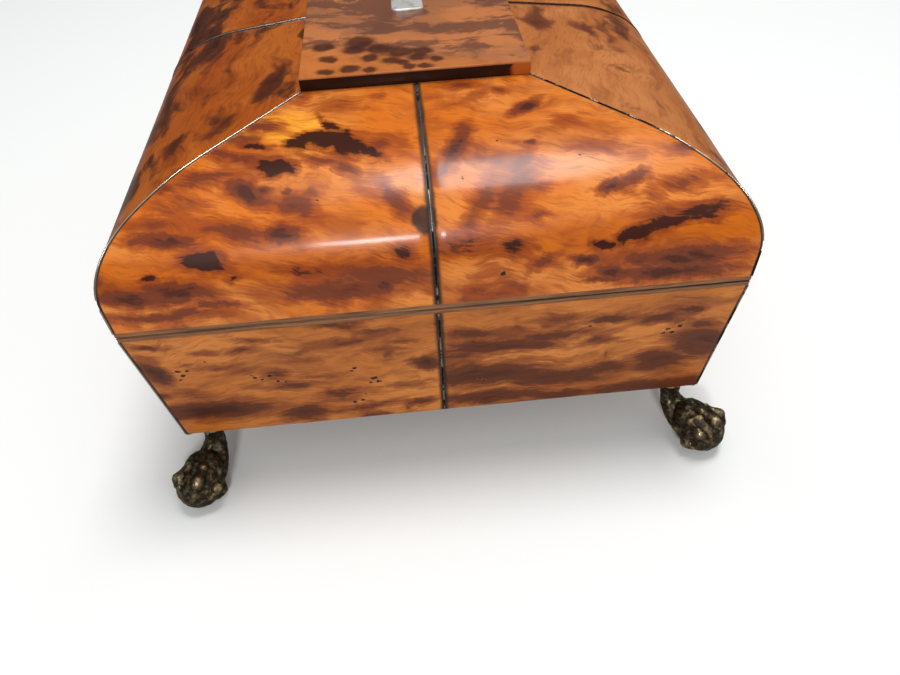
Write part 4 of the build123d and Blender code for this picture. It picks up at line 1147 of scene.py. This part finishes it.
def silk_button(place, finish):
    """A covered button in the middle of the ruched silk, with the pleats that its silk is drawn in by."""
    deselect()
    bpy.ops.mesh.primitive_uv_sphere_add(segments=64, ring_count=24, radius=BUTTON_RADIUS, location=place)
    button = bpy.context.object
    button.scale = (1, 1, 0.5)
    settle(button)
    for point in button.data.vertices:
        away = math.hypot(point.co.x, point.co.y) / BUTTON_RADIUS
        pleat = PLEAT_DEPTH * away ** 3 * math.sin(PLEATS * math.atan2(point.co.y, point.co.x))
        point.co.z += pleat - DIMPLE * (1 - away) ** 2 * (1 if point.co.z > place[2] else -1)
    smooth(button, 60)
    dress(button, "lid_silk_button", "lid", finish, "silk")


# Surroundings

FLOOR_GLOW = 0.08
SKY_LIGHT = 0.41
ROOM_GLOW = 0.07
CEILING_GLOW = 0.66
WINDOW = (0.35, 0.32, 0.88)


def make_camera():
    """The photograph's camera."""
    data = bpy.data.cameras.new("camera")
    camera = bpy.data.objects.new("camera", data)
    bpy.context.collection.objects.link(camera)
    camera.location = CAMERA_PLACE
    camera.rotation_euler = CAMERA_TURN
    data.sensor_width = SENSOR
    data.lens = LENS
    data.clip_start = 0.01
    bpy.context.scene.camera = camera


def make_floor():
    """A pale table top, bright near the box and dim in its polish further off, where the room is. Its glow
    for the camera fades out towards and under the box: a painted shadow.
    """
    deselect()
    bpy.ops.mesh.primitive_plane_add(size=6)
    floor = bpy.context.object
    floor.name = "floor"
    f = Finish("floor", Roughness=0.9, Specular_IOR_Level=0.0)
    path = f.add("LightPath", {}).outputs
    camera = path["Is Camera Ray"]
    mirrored = f.reckon("MAXIMUM", path["Is Glossy Ray"], path["Is Transmission Ray"])
    far = f.ease(f.length(f.place), 350.0, 900.0)
    far = f.times(far, mirrored)
    near = f.mix(mirrored, tint(240, 242, 241), tint(158, 156, 152))
    f.set("Base Color", f.mix(far, near, tint(60, 58, 56)))
    # Painted shadow: the camera glow is full 90 mm outside the box's outline and fades to none 30 mm
    # inside it
    x, y, _ = f.parts(f.place)
    beyond = f.minus(f.reckon("ABSOLUTE", x), HALF_LENGTH / MM)
    beyond = f.reckon("MAXIMUM", beyond, f.minus(f.reckon("ABSOLUTE", y), HALF_WIDTH / MM))
    seen = f.times(camera, f.ease(beyond, -30.0, 90.0))
    f.set("Emission Color", (1, 1, 1, 1))
    f.set("Emission Strength", f.times(seen, FLOOR_GLOW))
    floor.data.materials.append(f.material)


def make_light(name, place, aim, size, power, length=None):
    data = bpy.data.lights.new(name, "AREA")
    data.shape = "RECTANGLE" if length else "DISK"
    data.size = length or size
    if length:
        data.size_y = size
    data.energy = power
    lamp = bpy.data.objects.new(name, data)
    bpy.context.collection.objects.link(lamp)
    lamp.location = place
    lamp.rotation_euler = (Vector(aim) - Vector(place)).to_track_quat("-Z", "Y").to_euler()


def make_world():
    """Even light for what it falls on; in a polished surface, a bright ceiling over a dimmer room."""
    world = bpy.data.worlds.new("studio")
    bpy.context.scene.world = world
    world.use_nodes = True
    w = Nodes(world.node_tree)
    direction = w.add("TexCoord", {}).outputs["Generated"]
    towards = w.along(direction, Vector(WINDOW).normalized())
    ceiling = w.ease(towards, 0.60, 0.97, ROOM_GLOW, CEILING_GLOW)
    path = w.add("LightPath", {}).outputs
    inputs = {0: path["Is Glossy Ray"], 2: SKY_LIGHT, 3: ceiling}
    light = w.add("Mix", inputs).outputs[0]
    inputs = {0: path["Is Camera Ray"], 2: light, 3: 1.0}
    background = world.node_tree.nodes["Background"]
    w.feed(background.inputs["Color"], (1, 1, 1, 1))
    w.feed(background.inputs["Strength"], w.add("Mix", inputs).outputs[0])


def make_lights():
    make_world()
    make_light("overhead", (-0.10, 0.16, 1.30), (0, 0, 0.05), 0.5, 9.8)
    make_light("lamp", (1.18, -0.085, 0.67), (0.12, -0.017, 0.106), 0.085, 5.4, 0.19)
    bpy.context.scene.view_settings.view_transform = "Standard"


make_camera()
make_floor()
make_lights()


# The box put together

STREAKS = {
    ("lid", "right"): (14, 0.26, 1.0),
    ("lid", "left"): (24, 0.7, 11.0),
    ("lid", "front"): (8, 0.9, 21.0),
    ("lid", "back"): (6, 0.6, 31.0),
    ("base", "right"): (0, 0.4, 5.0),
    ("base", "left"): (0, 0.75, 15.0),
    ("base", "front"): (0, 0.8, 25.0),
    ("base", "back"): (0, 0.75, 35.0),
}


def shell_finishes(part, side, half):
    """One finish for each of the two plates of a side; the near side's plates have their own marks."""
    near = side == "right"
    marks = {"lid": LID_MARKS, "base": BASE_MARKS}[part] if near else ()
    holes = {"lid": LID_HOLES, "base": BASE_HOLES}[part] if near else ()
    marks = [mark_on_shell(mark, part) for mark in marks]
    holes = [hole_on_shell(hole, part) for hole in holes]
    stain = hole_on_shell(STAIN, part) if near and part == "lid" else None
    pair = []
    for number in (1, 2):
        name = f"{part}_{side}_shell_{number}"
        own = (on_plate(marks, number), on_plate(holes, number), stain)
        pair.append(tortoiseshell(name, SIDES[side], half, part == "lid", *STREAKS[part, side], *own))
    return pair


wire = wire_finish()
for side in SIDES:
    long_way = side in ("right", "left")
    half = HALF_LENGTH if long_way else HALF_WIDTH
    other = HALF_WIDTH if long_way else HALF_LENGTH
    tablet = TABLET_HALF_LENGTH if long_way else TABLET_HALF_WIDTH
    for part in ("lid", "base"):
        skin = lid_skin(half, other, tablet) if part == "lid" else base_skin(half, other)
        turn = SIDES[side]
        seam_wire(skin, (0, 0, 0), (0, 1, 0), turn, f"{part}_{side}_seam_wire", part, wire)
        seam_wire(skin, (half, other, 0), (-1, 1, 0), turn, f"{part}_{side}_mitre_wire", part, wire)
        plates(skin, part, side, half, other, shell_finishes(part, side, half))

place_feet(cast_bronze())

old_brass = brass("old_brass", tint(214, 176, 102), tint(120, 90, 52), 0.46, 0.60)
lid_silk = silk("lid_silk", tint(186, 92, 88), tint(146, 54, 56))
carcase = wood("carcase_wood", tint(150, 102, 62), tint(106, 68, 42), "X", 0.6)
tray_along = wood("tray_wood", tint(164, 96, 52), tint(112, 58, 30), "X", 0.32)
cover_wood = wood("cover_wood", tint(174, 104, 58), tint(120, 64, 34), "Y", 0.3)
stringing = stringing_finish()
edging = edging_finish()
lining = paper_finish()
steel = steel_finish()
bone = bone_finish()

# Finish, eased edge in millimetres and nodes of the pieces that keep their built form
GROUPS = (
    (carcase, 0.3, "bottom_board tray_ledges"),
    (stringing, 0, "base_stringing lid_stringing"),
    (edging, 0.12, "base_rim_edging lid_rim_edging"),
    (lining, 0, "base_lining lid_lining tray_bottom"),
    (old_brass, 0.15, "keyhole_escutcheon hinge_pins"),
    (old_brass, 0.12, "lock_case lock_bolt lock_link_plate"),
    (old_brass, 0.12, "left_hinge_base_leaf right_hinge_base_leaf"),
    (old_brass, 0.12, "left_hinge_lid_leaf right_hinge_lid_leaf"),
    (steel, 0, "base_screws lid_screws"),
    (plain_tortoiseshell(), 0.35, "tablet_shell"),
    (plaque_finish(), 0.1, "name_plaque"),
    (old_brass, 0.2, "reel_spindles"),
    (tray_along, 0, "tray_sides"),
    (tray_along, 0.4, "tray_dividers"),
    (cover_wood, 0.4, "left_cover_panel right_cover_panel"),
    (bone, 0.5, "left_cover_knob right_cover_knob reel_1 reel_2 reel_3 reel_4"),
)
FINISHES = {node: (finish, edge) for finish, edge, nodes in GROUPS for node in nodes.split()}
homes = {node: body for body, nodes in frame["record"]["behaviour"]["bodies"].items() for node in nodes}
slots = {part["node"]: part["material_slot"] for part in frame["record"]["subparts"]}
for node in frame["nodes"]:
    finish, edge = FINISHES.get(node, (carcase, 0))
    if edge:
        softened(node, edge * MM, homes[node], finish, slots[node])
    else:
        frame["nodes"][node].data.materials.clear()
        frame["nodes"][node].data.materials.append(finish)

cushion_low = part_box("pincushion")[0][2]
cushion = stuffed("pincushion", 3.0 * MM, 5.0 * MM, (0, 0, 2.5 * MM), cushion_low)
dress(cushion, "pincushion_velvet", "tray", velvet_finish(), slots["pincushion"], "pincushion")
for end in ("left", "right"):
    node = f"{end}_cover_pad"
    pad = stuffed(node, 1.1 * MM, 1.0 * MM, (0, 0, 0.8 * MM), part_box(node)[0][2])
    dress(pad, f"{end}_cover_silk", f"{end}_cover", lid_silk, slots[node], node)
pad_low, pad_high = (Vector(corner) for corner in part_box("lid_silk_pad"))
pad = stuffed("lid_silk_pad", 3.2 * MM, 2.5 * MM, (0, 0, 1.5 * MM), pad_high.z)
gather(pad, pad_low.z)
dress(pad, "lid_ruched_silk", "lid", lid_silk, slots["lid_silk_pad"], "lid_silk_pad")
silk_button((0, 0, pad_low.z + BUTTON_SET_IN), lid_silk)
